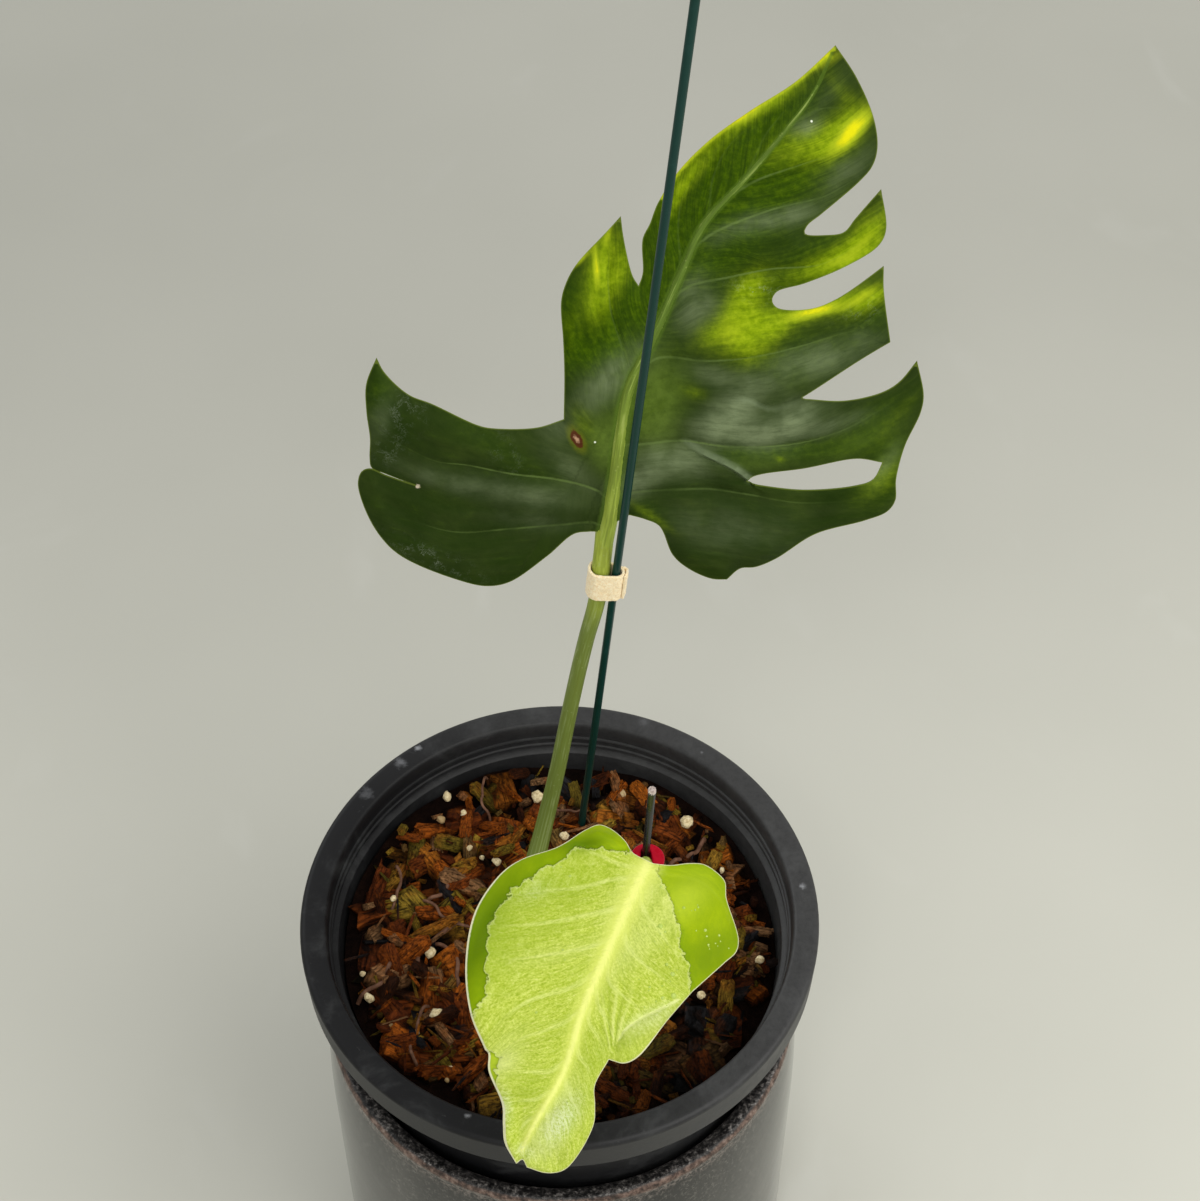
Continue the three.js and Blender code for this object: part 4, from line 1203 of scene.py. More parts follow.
def nearest_vein(points, veins):
    """How far the nearest side vein is from each point, and how strong that vein is there, from 1
    where it leaves the midrib to 0 at its end."""
    gap_mm = np.full(len(points), 1e9)
    strength = np.zeros(len(points))
    for vein in veins:
        gap, along = distance_to(points, vein)
        closer = gap < gap_mm
        gap_mm[closer] = gap[closer]
        strength[closer] = 1 - along[closer]
    return gap_mm, strength


def half_of(vein, midrib):
    """1 for a side vein on the right half of the leaf and -1 for one on the left."""
    beyond_middle = vein[None, int(len(vein) * 0.6)]
    return 1 if rib_offset(beyond_middle, midrib)[0] > 0 else -1


def flow_between(points, veins, midrib):
    """A number that grows evenly from one side vein to the next one up, so that stripes of it run
    beside the veins. Each half of the leaf has its own family of veins."""
    flow = np.zeros(len(points))
    halves = np.where(rib_offset(points, midrib) > 0, 1, -1)
    for half in (-1, 1):
        spots = points[halves == half]
        family = [vein for vein in veins if half_of(vein, midrib) == half]
        family.sort(key=lambda vein: vein[0, 1])
        above = []
        for vein in family:
            longer = np.vstack([vein, vein[-1] + (vein[-1] - vein[-4]) * 30])
            above.append(side_of(spots, longer) * half * distance_to(spots, longer)[0])
        above = np.array(above)
        starts = np.array([vein[0, 1] for vein in family])
        below = (above > 0).sum(0) - 1
        lower = np.clip(below, 0, len(family) - 2)
        every = np.arange(len(spots))
        low, high = above[lower, every], -above[lower + 1, every]
        share = np.clip(low / np.where(low + high == 0, 1, low + high), 0, 1)
        value = starts[lower] + (starts[lower + 1] - starts[lower]) * share
        value = np.where(below < 0, starts[0] + above[0], value)
        flow[halves == half] = np.where(below == len(family) - 1, starts[-1] + above[-1], value)
    return flow


def vein_lines(finish, thin, thick):
    """In a leaf's finish: how much of each spot is vein. thin and thick are half widths in mm."""
    strength = finish.stored("strength")
    width = finish.times(strength, thick - thin, thin)
    line = finish.between(finish.sum("DIVIDE", "gap", width), 0.3, 1.5, 1, 0)
    return finish.times(line, finish.between(strength, 0, 0.45, 0.1, 1))

# %% [markdown]
# ## The tall leaf
# This leaf has a slanting midrib, long fingers on its right, a hole between two of them, and two
# lobes on its left that part near the edge. The outline below goes round it in smooth stretches
# from one sharp point to the next. Side veins leave the midrib on both sides. Gold and lime patches
# and grey places of painted sheen are stored on the points as soft hills, and a healed brown scar as
# the distance to it, so that the finish can read them.

# %% Draw the tall leaf
TALL_OUTLINE = (
    ((5.5, 5.5), (2.6, 1), (0.4, -3.4)),
    ((-3, -5), (-7.5, -8), (-12, -19), (-19, -32.5), (-25, -37), (-34, -39), (-54, -39.5), (-62.5, -36.5),
     (-70.5, -30.5), (-76, -23.5), (-76.5, -19), (-74.5, -16.8), (-69.5, -16.5)),
    ((-58, -15), (-69.5, -16.1), (-74.2, -16.3), (-76, -13.5), (-78.5, -7), (-83, 1), (-86.5, 9)),
    ((-87, 18), (-83, 15), (-73.5, 12), (-65.5, 12.5), (-50, 12.5), (-45.5, 13.5), (-33, 19.5)),
    ((-26.5, 25.5), (-32.5, 39), (-37.5, 49), (-43, 59.5), (-44, 65), (-43.5, 71.5), (-39.5, 84)),
    ((-37.5, 90.5), (-34, 85), (-26.5, 75.5)),
    ((-23.5, 73.5), (-24, 77.5), (-28.5, 87), (-28.5, 92), (-29, 98.5), (-27.5, 109.5), (-23, 121.5),
     (-15.5, 134.5), (-6.5, 148)),
    ((0, 162.5), (9.5, 157), (19.5, 148.5), (24.5, 141), (25.5, 135.5), (24, 130), (17.5, 116.5),
     (15, 111.5), (15.3, 109.2), (21.5, 111.5), (26, 114.5), (27.5, 119.5)),
    ((31, 130.5), (37.5, 120.5), (37.5, 115.5), (31, 105.5), (22, 95.5), (15.5, 89.5), (15.5, 86.5),
     (18, 85.2), (27, 89), (32.5, 94.5)),
    ((41.5, 110.5), (44.5, 104.5)),
    ((54.5, 90), (47.5, 79.5)),
    ((37, 63.5), (49.5, 68), (59.5, 75), (63, 80)),
    ((65, 88), (72, 79), (73.5, 74), (73.5, 62.5), (76, 52), (79.5, 45), (79, 40.5), (74, 35), (61, 24.5),
     (53, 12.5), (48.5, 7.5), (44.5, 5)),
    ((42.5, -0.5), (38, -2.5), (29.5, -2.5), (23.5, -0.5), (15.5, 6.5), (10.5, 6.5)),
)
TALL_HOLE = (
    ((34, 31.5), (34.5, 33.5), (48, 43), (61.5, 53)),
    ((69.5, 55), (69.5, 48.5), (65.5, 44.5), (51.5, 36.5), (38, 32.2)),
)
TALL_MIDRIB = (
    (2.3, -5.2), (0.8, 0.3), (-3.8, 14.8), (-8.7, 29.1), (-12.4, 43.5), (-12.5, 62), (-13.5, 87.5),
    (-13.5, 98.5), (-8.5, 114.5), (-4, 130), (0, 148), (0, 160))
TALL_VEINS = (
    ((-10.5, 108), (-5.5, 116), (3.5, 125), (12, 133)),
    ((-13.4, 90), (-10, 97), (3, 111), (16.5, 122), (21, 128)),
    ((-13.2, 71), (-10, 79), (0.5, 87.5), (10.5, 95), (24, 103), (32, 113)),
    ((-12.5, 50), (-8, 56), (5, 61.5), (17, 68.5), (30, 78), (45, 91)),
    ((-7.5, 25), (-1, 28.5), (9.5, 35), (25, 40.5), (41, 49), (53.5, 59.5), (63, 72)),
    ((-2.5, 8), (3.5, 13), (19.5, 22), (35.5, 27.5), (52, 32), (70, 41)),
    ((-2, 7), (-7.5, 8.5), (-19.5, 7), (-33.5, 3), (-47.5, -0.5), (-57, -4), (-70, -4)),
    ((-0.5, -2), (-4, -2), (-13, -7), (-26, -15), (-42, -24), (-58, -27)),
    ((-12, 38), (-14, 46), (-20, 54), (-28, 63), (-34, 74), (-37, 82)),
    ((-13.3, 76), (-15, 85), (-20, 94), (-23, 104), (-21, 116)),
    ((-13.3, 95), (-14, 103), (-17, 112), (-17, 122), (-12, 134)),
    ((-8.5, 114), (-8, 122), (-8, 130), (-5, 142)),
    ((-3.5, 131), (-1, 138), (4, 144), (12, 148)),
)
# how clearly each side vein shows in colour
VEIN_CLEARNESS = (0.75, 0.9, 0.8, 0.75, 0.9, 0.45, 0.85, 0.6, 0.35, 0.2, 0.2, 0.25, 0.3)
LAP_LINE = ((18, 55), (21.5, 56.4), (29, 57.2), (37, 63.5))
FOLD_LINE = ((10.5, 34.6), (16.6, 33.9), (23.6, 33.8), (29, 33.4), (34.2, 31.9))
LEAF_STEP = 1

tall_outline = closed_loop(TALL_OUTLINE, 0.9)
tall_hole = closed_loop(TALL_HOLE, 0.9)
tall_midrib = flowing(TALL_MIDRIB, LEAF_STEP)
tall_veins = [flowing(vein, LEAF_STEP) for vein in TALL_VEINS]
lap_line, fold_line = flowing(LAP_LINE, 0.8), flowing(FOLD_LINE, 0.8)
inner_rib = tall_midrib[tall_midrib[:, 1] > 4]
guides = [inner_rib] + [vein[6:] for vein in tall_veins]
guides += [beside(line, side)[:-1] for line in (lap_line, fold_line) for side in (-0.5, 0.5)]
tall_points, tall_triangles = cut_leaf(tall_outline, [tall_hole], guides, LEAF_STEP, np.random.default_rng(3))
print("tall leaf:", len(tall_points), "points,", len(tall_triangles), "triangles")

# %% Measure the tall leaf
tall_out = rib_offset(tall_points, tall_midrib)
rib_gap, rib_along = distance_to(tall_points, tall_midrib)
rib_half = 3 - 2.6 * rib_along ** 0.85
vein_gap, vein_strength = nearest_vein(tall_points, tall_veins)
each_gap = np.array([distance_to(tall_points, vein)[0] for vein in tall_veins])
vein_clear = np.array(VEIN_CLEARNESS)[each_gap.argmin(0)]
edges_away = [distance_to(tall_points, round_again(loop))[0] for loop in (tall_outline, tall_hole)]
margin = np.minimum(*edges_away)
tall_flow = flow_between(tall_points, tall_veins, tall_midrib)

# towards the tip the streaks leave the midrib forwards, at an angle that changes along it
RIB_LENGTH = 171
on_right = np.interp(rib_along, (0.4, 0.6, 0.75, 1), (0.7, 0.85, 1.2, 1.8))
on_left = np.interp(rib_along, (0.4, 0.6, 0.75, 1), (2.2, 2, 1.6, 1.2))
forwards = RIB_LENGTH * rib_along - np.where(tall_out > 0, on_right, on_left) * rib_gap
near_tip = np.clip((rib_along - 0.5) / 0.15, 0, 1)
streak_flow = tall_flow + (forwards - tall_flow) * near_tip

# %% Bend the tall leaf
TALL_HILLS = (
    (16, 70, 16, 7, 30, 1.6), (28, 51, 18, 6, 25, 1.8), (24, 26, 12, 4, -10, -1.6),
    (20, 40, 10, 4, 10, 0.9), (52, 62, 14, 5, 45, -1.2), (-45, 5, 22, 6, -8, 1.2),
    (-40, -12, 20, 6, 10, -1), (-42, -27, 22, 8, 5, 1.6), (40, 14, 20, 8, 25, 1.6),
    (3, 100, 12, 7, 40, 1), (10, 130, 14, 8, 50, 1.4), (-21, 118, 22, 5, 72, 1.3),
    (-34, 60, 18, 5, 65, 1.2), (30, 110, 12, 3, 60, -0.9), (70, 52, 4, 12, 0, -1.2))


def tall_lift(points):
    """The height of the blade: its halves fold up and droop, its length is arched, its edge waves."""
    out = rib_offset(points, tall_midrib)
    fold = 0.12 * (np.hypot(out, 6) - 6)
    droop = -0.0016 * out ** 2
    arch = 0.0011 * (3600 - (points[:, 1] - 60) ** 2)
    phase = np.where(out > 0, 0.6, 1.3)
    wave = 1.6 * np.minimum(1, np.abs(out) / 50) * np.sin(points[:, 1] / 8 + phase)
    return fold + droop + arch + wave


fade = np.clip(margin / 5, 0, 1)
quilt = 1.5 * (1 - np.exp(-vein_gap / 6)) * (1 - np.exp(-rib_gap / 9))
groove = -0.45 * np.exp(-(vein_gap / 1.3) ** 2) * np.clip(rib_gap / 4, 0, 1)
groove = groove * np.clip(vein_strength * 3, 0, 1)
ripples = 0.09 * np.sin(tall_flow * 1.9) + 0.06 * np.sin(tall_flow * 3.1 + 1)
tall_surface = tall_lift(tall_points) + (quilt + groove + ripples) * fade
tall_surface += hills(tall_points, TALL_HILLS) * np.clip(margin / 3, 0.3, 1)

# %% [markdown]
# The lowest finger laps over the next one beside the cut between them, and a fold runs to the hole.
# Both are shelves: one side of a line stands up and the other sinks. The crest of each is kept as a
# value too, because the finish paints a thin highlight on it.

# %% Fold the tall leaf
tall_surface += shelf(tall_points, lap_line, -1.6, 5) + shelf(tall_points, fold_line, 1.8, 5)
lap_gap, lap_along = distance_to(tall_points, beside(lap_line, -0.4))
fold_gap, fold_along = distance_to(tall_points, beside(fold_line, 0.9))
crest = 0.6 * np.exp(-(lap_gap / 0.55) ** 2) * (1 - lap_along) * np.clip(lap_along * 6, 0, 1)
crest = np.maximum(crest, np.exp(-(fold_gap / 0.95) ** 2) * (0.35 + 0.65 * np.sin(fold_along * 2.4)))

# %% Place and thicken the tall leaf
TALL_LEAN, TALL_SLANT = math.radians(32), math.radians(25)
tall_up = Vector((0, -math.cos(TALL_LEAN), math.sin(TALL_LEAN)))
tall_along = Vector((math.sin(TALL_SLANT), math.sin(TALL_LEAN) * math.cos(TALL_SLANT),
                     math.cos(TALL_LEAN) * math.cos(TALL_SLANT)))
tall_place = leaf_frame((16, 55, 143), tall_along, tall_up)

blade_half = 0.14 + 0.26 * np.clip(margin / 1.6, 0, 1) ** 0.5
under_half = blade_half + 0.7 * np.exp(-(vein_gap / 0.8) ** 2) * np.clip(margin / 10, 0, 1) * vein_strength

# %% [markdown]
# Now the colours are laid out on the flat leaf: gold and lime patches, places lit by the window
# in painted light, grey painted sheen, fresher green, and fine pale scribbles. They lie where the
# photograph shows them.

# %% Lay out the tall leaf's colours
# each patch is (x, y, half length, half width, turn in degrees, strength)
TALL_PATCHES = {
    "gold": (
        (15, 142, 8, 2.6, 71, 1.15), (28.5, 89, 9, 1.8, 39, 1), (32.4, 113, 7, 2, 70, 0.42),
        (27.5, 105.5, 5, 1.5, 45, 0.4), (8, 73, 6, 5, 60, 0.36), (40, 99, 6, 1.4, 55, 0.35),
        (-37.5, 73, 6, 0.9, 118, 0.9), (-43, 74, 5, 1.3, 70, 0.6), (-39, 85, 5, 1.2, 105, 0.5),
        (1, 159, 5, 2, 60, 0.35), (40, 101, 5, 1.2, 62, 0.3), (-15, 133, 5, 1.5, 55, 0.35)),
    "lime": (
        (13, 141, 12, 5, 71, 0.8), (3, 132, 12, 5, 42, 0.6), (11, 76, 9, 7, 60, 1),
        (7, 87, 8, 4.5, 75, 0.75), (2, 69, 6, 5, 60, 0.35), (18, 70, 7, 5, 40, 0.35),
        (20, 80, 7, 4, 40, 0.5), (27, 105, 15, 4.5, 45, 0.75), (33, 117, 12, 5, 75, 0.75),
        (31, 92, 14, 3.4, 40, 0.85), (42, 100, 9, 4, 62, 0.6), (-35, 60, 16, 5, 68, 0.22),
        (-37, 78, 12, 5, 108, 0.7), (-34, 66, 10, 4, 118, 0.35), (-30, 77, 9, 3, 90, 0.4),
        (-21, 27.5, 7, 3.5, -40, 0.35), (-21, 118, 24, 3, 72, 0.4), (-24, 104, 10, 2, 88, 0.5),
        (-10, 140, 12, 2.2, 56, 0.55), (6, 152, 7, 3, 150, 0.3), (72, 50, 9, 4, 70, 0.45),
        (6, 51, 5, 2.5, 10, 0.35), (12, 8.5, 9, 1.8, -8, 0.4), (39.7, 43, 1.6, 1, 10, 0.5),
        (67, 70, 12, 3, 75, 0.2)),
    "lit": (
        (-2, 42, 13, 6.5, 88, 0.85), (-7, 51, 9, 4, 100, 0.5), (-10, 33, 9, 3, 100, 0.5),
        (4, 34, 7, 6, 60, 0.4), (70, 54, 8, 3, 85, 0.6), (34, 38.5, 12, 3, 28, 0.4),
        (36, 100, 14, 4, 55, 0.3), (58, 56, 14, 4, 55, 0.3), (-14, 44, 8, 3, 100, 0.4),
        (-13, 24, 9, 4.5, -60, 0.9)),
    # painted sheen: grey places painted as if they mirrored the light
    "painted_sheen": (
        (7, 110.5, 11, 2.6, 38, 0.7), (-5, 101, 8, 3, 50, 0.35), (-8, 80, 6, 4, 80, 0.45),
        (-19, 44, 13, 5, 68, 0.85), (3.5, 145, 11, 3.2, 78, 0.15), (-28, 22, 6, 4, 0, 0.3),
        (-4, 74, 7, 5, 60, 0.6), (14, 60, 12, 3, 15, 0.5), (34, 74, 14, 5, 35, 0.45),
        (19, 50, 9, 5, 60, 1.3), (34, 52, 10, 4, 35, 1.2), (25, 44, 14, 4, 15, 0.6),
        (50, 60, 10, 2.6, 40, 0.4), (11, 29, 12, 5, 20, 0.8), (3, 17, 8, 4, 60, 1),
        (-34, -3.3, 17, 3, 11, 0.32), (-22, 0, 12, 4, 20, 0.3), (-17, 12, 9, 4, -10, 0.4),
        (-52, -9, 14, 3, 8, 0.35), (19, 131, 9, 4, 60, 0.4), (2.5, 137, 4, 2.4, 40, 0.7),
        (44, 84, 12, 5, 48, 0.3), (38, 60, 8, 4, 40, 0.5), (32, 14, 18, 6, 20, 0.25),
        (-20, -9, 12, 3, 20, 0.25), (71, 54, 6, 2.4, 90, 0.5), (-78, 0, 9, 3, 90, 0.3)),
    "fresh": (
        (-14, 125, 32, 14, 72, 1), (-34, 68, 24, 10, 68, 1), (-20, 84, 26, 9, 88, 1),
        (2, 122, 24, 12, 55, 1), (-8, 95, 18, 10, 60, 0.9), (26, 104, 20, 10, 55, 0.9),
        (-4, 42, 14, 7, 80, 0.6), (-16, 50, 18, 8, 80, 0.7), (36, 44, 22, 3.4, 28, 0.8),
        (60, 64, 14, 6, 60, 0.5), (72, 52, 12, 8, 90, 0.7), (-30, 50, 14, 8, 60, 0.8),
        (-26, 92, 20, 6, 85, 0.8), (10, 9, 10, 4, -10, 0.4), (-82, 10, 10, 5, 90, 0.45),
        (45, 96, 10, 7, 50, 0.6), (12, 80, 18, 13, 40, 0.6), (34, 76, 18, 7, 38, 0.45),
        (-45, 10, 26, 4, -12, 0.25)),
    "marked": (
        (-45, -35, 14, 3, 0, 1), (-73, 6, 7, 6, 80, 0.8), (-72, -8, 5, 4, 80, 0.7),
        (-38, 8, 8, 4, -30, 0.4), (10, 88, 7, 3, 20, 1), (42, 95, 7, 3, 50, 0.6)),
}

# x, y and size of the white dots, the end of the long cut on the left, and the brown scar
WHITE_DOTS = ((3, 139.6, 0.42), (-14.7, 23, 0.42))
SLIT_END = (-58.6, -15)
SCAR = (-20.3, 21.6)
scar_off = tall_points - SCAR
scar_gap = np.hypot(scar_off @ (0.8, -0.6) / 2.5, scar_off @ (0.6, 0.8) / 1.15)
gilt = np.exp(-margin / 0.9) * ((tall_points[:, 1] > 100) & (tall_out < 0)) * 0.8

tall_marks = patches(tall_points, TALL_PATCHES)
tall_marks["gold"] += gilt
tall_marks["lime"] += gilt * 0.6

# %% Build the tall leaf
tall_leaf = leaf_mesh(
    "tall_leaf", tall_points, tall_triangles, tall_surface, blade_half, under_half, tall_place,
    {"rib": rib_gap / rib_half, "across": rib_gap, "gap": vein_gap, "strength": vein_strength,
     "clear": vein_clear, "margin": margin, "scar": scar_gap, "crest": crest, "flow": streak_flow,
     **tall_marks})[0]

# %% [markdown]
# The finish goes from the ground up: three greens in streaks that run beside the veins, then the
# painted light of the lit places and the grey painted sheen, lime and gold, the veins and folds,
# and last the scar and the other marks.

# %% Finish the tall leaf
def leaf_green():
    finish = Finish("tall leaf", {"Specular Tint": (0.85, 1.0, 0.6)})
    plan = finish.stored("plan", "Vector")
    wander = finish.noise(plan, 0.045, 4, 0.6)
    fine = finish.noise(plan, 0.5, 4, 0.6)
    flow = finish.times(finish.noise(plan, 0.1, 3), 1.4, "flow")
    outward = finish.times("across", 0.16)
    streak_place = finish.node("CombineXYZ", {"X": flow, "Y": outward}).outputs[0]
    streaks = finish.noise(streak_place, 0.8, 6, 0.68)
    wide = finish.noise(streak_place, 0.22, 3, 0.6)
    clouds = finish.noise(plan, 0.2, 6, 0.7)

    # the ground
    base = finish.shades(wander, [(0.3, (0.014, 0.026, 0.004)), (0.5, (0.021, 0.036, 0.006)),
                                  (0.7, (0.032, 0.052, 0.008))])
    grain = finish.times(fine, 0.6, finish.times(streaks, 0.4))
    fresh = finish.shades(grain, [(0.38, (0.025, 0.058, 0.0003)), (0.5, (0.037, 0.078, 0.0004)),
                                  (0.62, (0.062, 0.115, 0.0008))])
    base = finish.mix("fresh", base, fresh)
    base = finish.tint(base, (0.012, 0.03, 0.0015), wide, 0.38, 0.6, 0.4, 0)
    base = finish.tint(base, (0.009, 0.024, 0.0012), streaks, 0.36, 0.56, 0.25, 0)
    base = finish.tint(base, (0.07, 0.125, 0.008), streaks, 0.54, 0.74, 0, 0.14)

    # painted light and sheen: places lit by the window, and grey painted sheen
    lit = finish.times("lit", finish.between(clouds, 0.3, 0.66, 0.45, 0.95))
    base = finish.mix(finish.sum("MINIMUM", lit, 0.85), base, (0.105, 0.165, 0.022))
    cloud = finish.between(finish.noise(plan, 0.1, 3, 0.5), 0.32, 0.62, 0.55, 1.1)
    painted_sheen = finish.times("painted_sheen", cloud)
    painted_sheen = finish.times(painted_sheen, finish.between(streaks, 0.35, 0.6, 0.75, 1.1))
    base = finish.some(painted_sheen, 0.8, base, (0.15, 0.19, 0.095))

    # lime and gold
    swing = finish.times(clouds, 0.8, finish.times(streaks, 0.7, 0.25))
    lime = finish.times("lime", swing)
    lime_green = finish.shades(grain, [(0.38, (0.16, 0.25, 0.001)), (0.5, (0.235, 0.345, 0.003)),
                                       (0.62, (0.31, 0.42, 0.008))])
    base = finish.tint(base, lime_green, lime, 0, 1.1, 0, 0.92)
    gold = finish.times("gold", swing)
    base = finish.tint(base, (0.38, 0.47, 0.012), gold, 0.08, 0.65, 0, 0.85)
    base = finish.tint(base, (0.74, 0.7, 0.006), gold, 0.5, 1.1)

    # veins, folds and edge
    lines = finish.times(vein_lines(finish, 0.2, 0.5), "clear")
    lines = finish.times(lines, finish.between(finish.noise(plan, 0.09, 3), 0.36, 0.58, 0.4, 1))
    base = finish.some(lines, 0.6, base, (0.13, 0.195, 0.05))
    base = finish.tint(base, (0.085, 0.15, 0.015), "rib", 0.9, 1.5, 0.5, 0)
    # painted highlight: a thin light line along the crests of the lap and the fold
    base = finish.some("crest", 0.6, base, (0.24, 0.3, 0.18))
    edge = finish.between("margin", 0.1, 0.5, 0.5, 0)
    base = finish.mix(edge, base, (0.17, 0.22, 0.03))

    # the scar, the scribbles, the dots and the callus where the cut ends
    scar = finish.sum("ADD", finish.noise(plan, 0.8, 3), "scar")
    base = finish.tint(base, (0.2, 0.22, 0.01), scar, 1.9, 3.2, 0.3, 0)
    base = finish.tint(base, (0.075, 0.022, 0.008), scar, 1.65, 2, 1, 0)
    base = finish.tint(base, (0.42, 0.25, 0.15), scar, 0.85, 1.2, 1, 0)
    scribble = finish.sum("SUBTRACT", finish.noise(plan, 0.42, 6, 0.72, 2.2), 0.5)
    scribble = finish.between(finish.sum("ABSOLUTE", scribble), 0.004, 0.016, 1, 0)
    patchy = finish.between(finish.noise(plan, 0.25, 3), 0.46, 0.6)
    scribble = finish.times(scribble, finish.times(patchy, "marked"))
    base = finish.some(scribble, 0.5, base, (0.4, 0.46, 0.34))
    for x, y, size in WHITE_DOTS:
        gap = finish.distance(plan, (x, y, 0))
        base = finish.tint(base, (0.8, 0.85, 0.7), gap, size * 0.5, size, 1, 0)
    callus = finish.times(finish.noise(plan, 1.3, 4, 0.7), 2.2, finish.distance(plan, (*SLIT_END, 0)))
    base = finish.tint(base, (0.55, 0.47, 0.36), callus, 1.5, 2.1, 0.9, 0)

    # the underside is duller and its veins are broad
    dull = finish.shades(clouds, [(0.35, (0.055, 0.095, 0.022)), (0.65, (0.09, 0.145, 0.04))])
    under = finish.mix(vein_lines(finish, 0.4, 0.8), dull, (0.2, 0.28, 0.08))
    finish.set("Base Color", finish.mix("under", base, under))
    shine = finish.times(finish.noise(plan, 0.3, 3), 0.2, 0.3)
    finish.set("Roughness", finish.mix("under", shine, (0.55, 0.55, 0.55)))
    finish.set("Specular IOR Level", finish.times(painted_sheen, 0.2, 0.045))
    finish.bump(finish.times(streaks, 0.9, fine), 0.2, 0.9)
    return finish.material


finished(tall_leaf, leaf_green(), "leaf_dark", "main_leaf")

# %% [markdown]
# ### The midrib
# Where the stalk enters the leaf it simply runs on as the midrib. It is as thick as the stalk at
# the base, and thins out to nothing near the tip. So it is one more tube, most of it sunk in the
# blade: it stands a little proud above and shows as a round rib from behind. Its height at each
# point is looked up on the blade that was just bent.

# %% Lay the midrib in the blade
RIB_THICK, RIB_THIN, RIB_PROUD = 3, 0.35, 1.9
RIB_FROM, RIB_TO, RIB_KNOTS = 0.045, 0.94, 22
RIB_IN_STALK = [2.9, 2.95]


def rib_in_blade():
    """The knots and radii of the midrib's tube, in mm. The blade's height at a knot is that of its
    nearest point."""
    share = np.linspace(RIB_FROM, RIB_TO, RIB_KNOTS)
    steps = np.arange(len(tall_midrib))
    spots = np.stack([np.interp(share * steps[-1], steps, tall_midrib[:, axis]) for axis in (0, 1)], axis=1)
    radii = RIB_THICK + (RIB_THIN - RIB_THICK) * share ** 0.75
    nearest = [np.argmin(np.linalg.norm(tall_points - spot, axis=1)) for spot in spots]
    heights = tall_surface[nearest] + RIB_PROUD * (0.15 + 0.85 * radii / RIB_THICK) - radii
    knots = [tuple(tall_place @ (Vector((*spot, height)) * MM) / MM) for spot, height in zip(spots, heights)]
    return knots, radii.tolist()


rib_knots, rib_radii = rib_in_blade()
tall_rib = stalk_tube("tall_rib", from_rim(TALL_STALK[-3:-1]) + rib_knots, RIB_IN_STALK + rib_radii, 6)
rib_skin = stalk_skin("midrib skin", 0.02, 0.62, (0.31, 0.39, 0.05), (0.1, 0.17, 0.018), (0.4, 0.47, 0.13))
finished(tall_rib, rib_skin, "leaf_dark")

# %% [markdown]
# ## The young leaf
# The second leaf has only just opened and hangs towards the viewer, so that in its own frame x runs
# to the viewer's left. Most of it is pale and mottled, as if a thin skin lay on it, and that skin
# ends in a torn looking edge. Outside it the leaf is smooth and bright green: a band on the left, a
# rounded lobe at the top and a big one on the right. The blade is puckered near its tip, and its
# right edge is turned up along a fold. It is cut and bent as the tall leaf is, and the distance to
# the edge of the pale skin is stored for the finish.

# %% Draw the young leaf
YOUNG_OUTLINE = (
    ((-1.8, -0.9),),
    ((0.8, -1.2), (5.5, -2), (9, -4.8), (14.5, -7), (18.5, -7), (22, -4), (28.5, 4), (38.5, 12),
     (43, 18.5), (46.5, 32), (44, 48), (37.5, 62)),
    ((29.5, 71), (28.3, 71.6)),
    ((27.8, 72.6), (26.5, 76.5), (19, 85), (16.8, 90.5), (14.5, 95.5)),
    ((9, 100.4), (7.6, 98.6)),
    ((5.5, 100.4), (-1, 100), (-5.5, 97.5), (-8, 92), (-9.5, 81.5), (-8, 76), (-6, 70.5)),
    ((-7.5, 61.5), (-12.5, 61), (-16, 57.5), (-21, 44)),
    ((-25.5, 33.5), (-32.5, 21.5), (-35, 17), (-34.5, 13), (-27, 2), (-25, -3), (-21.5, -5), (-17, -6),
     (-12.5, -4.8), (-7, -2.2)),
)
YOUNG_MIDRIB = ((0, -0.6), (1.5, 11), (3.5, 30.5), (5, 49), (4.5, 70), (7.5, 86), (8.8, 96))
YOUNG_VEINS = (
    ((0.3, 2), (8, 3), (17, 2.5), (24, 3)), ((1, 4.5), (10, 9), (17, 13.8), (30, 20), (38, 24)),
    ((2, 15), (10, 20), (24, 28), (42, 36)), ((3.4, 26), (8, 30), (20, 37), (36, 45)),
    ((4.5, 37), (9, 43), (22, 53), (28, 61), (30.5, 67)), ((5, 50), (10, 56), (21, 65), (24, 69)),
    ((4.5, 66), (9, 71), (16, 73.3), (21, 75)), ((5.5, 76), (10, 80), (17, 83)),
    ((6.8, 84), (10, 87), (12, 92)),
    ((0.3, 2), (-7, 1), (-18, 0), (-27, 5), (-32, 13)), ((1, 7), (-3, 14), (-11, 20), (-20, 26.4)),
    ((2.2, 19), (-2, 27), (-13, 32), (-23, 35)), ((3.4, 31), (0, 39), (-10.6, 43.7), (-16, 46.5)),
    ((4.4, 40), (1.6, 46), (-4.7, 52.2), (-9.2, 59.3)), ((4.8, 46), (1.8, 53), (-3, 57), (-5.4, 61)),
    ((4.8, 56), (2, 63), (-2, 66), (-5, 70)), ((5, 69), (1, 75), (-4, 80), (-7, 86)),
    ((6.5, 82), (3, 87), (-1, 93)),
)
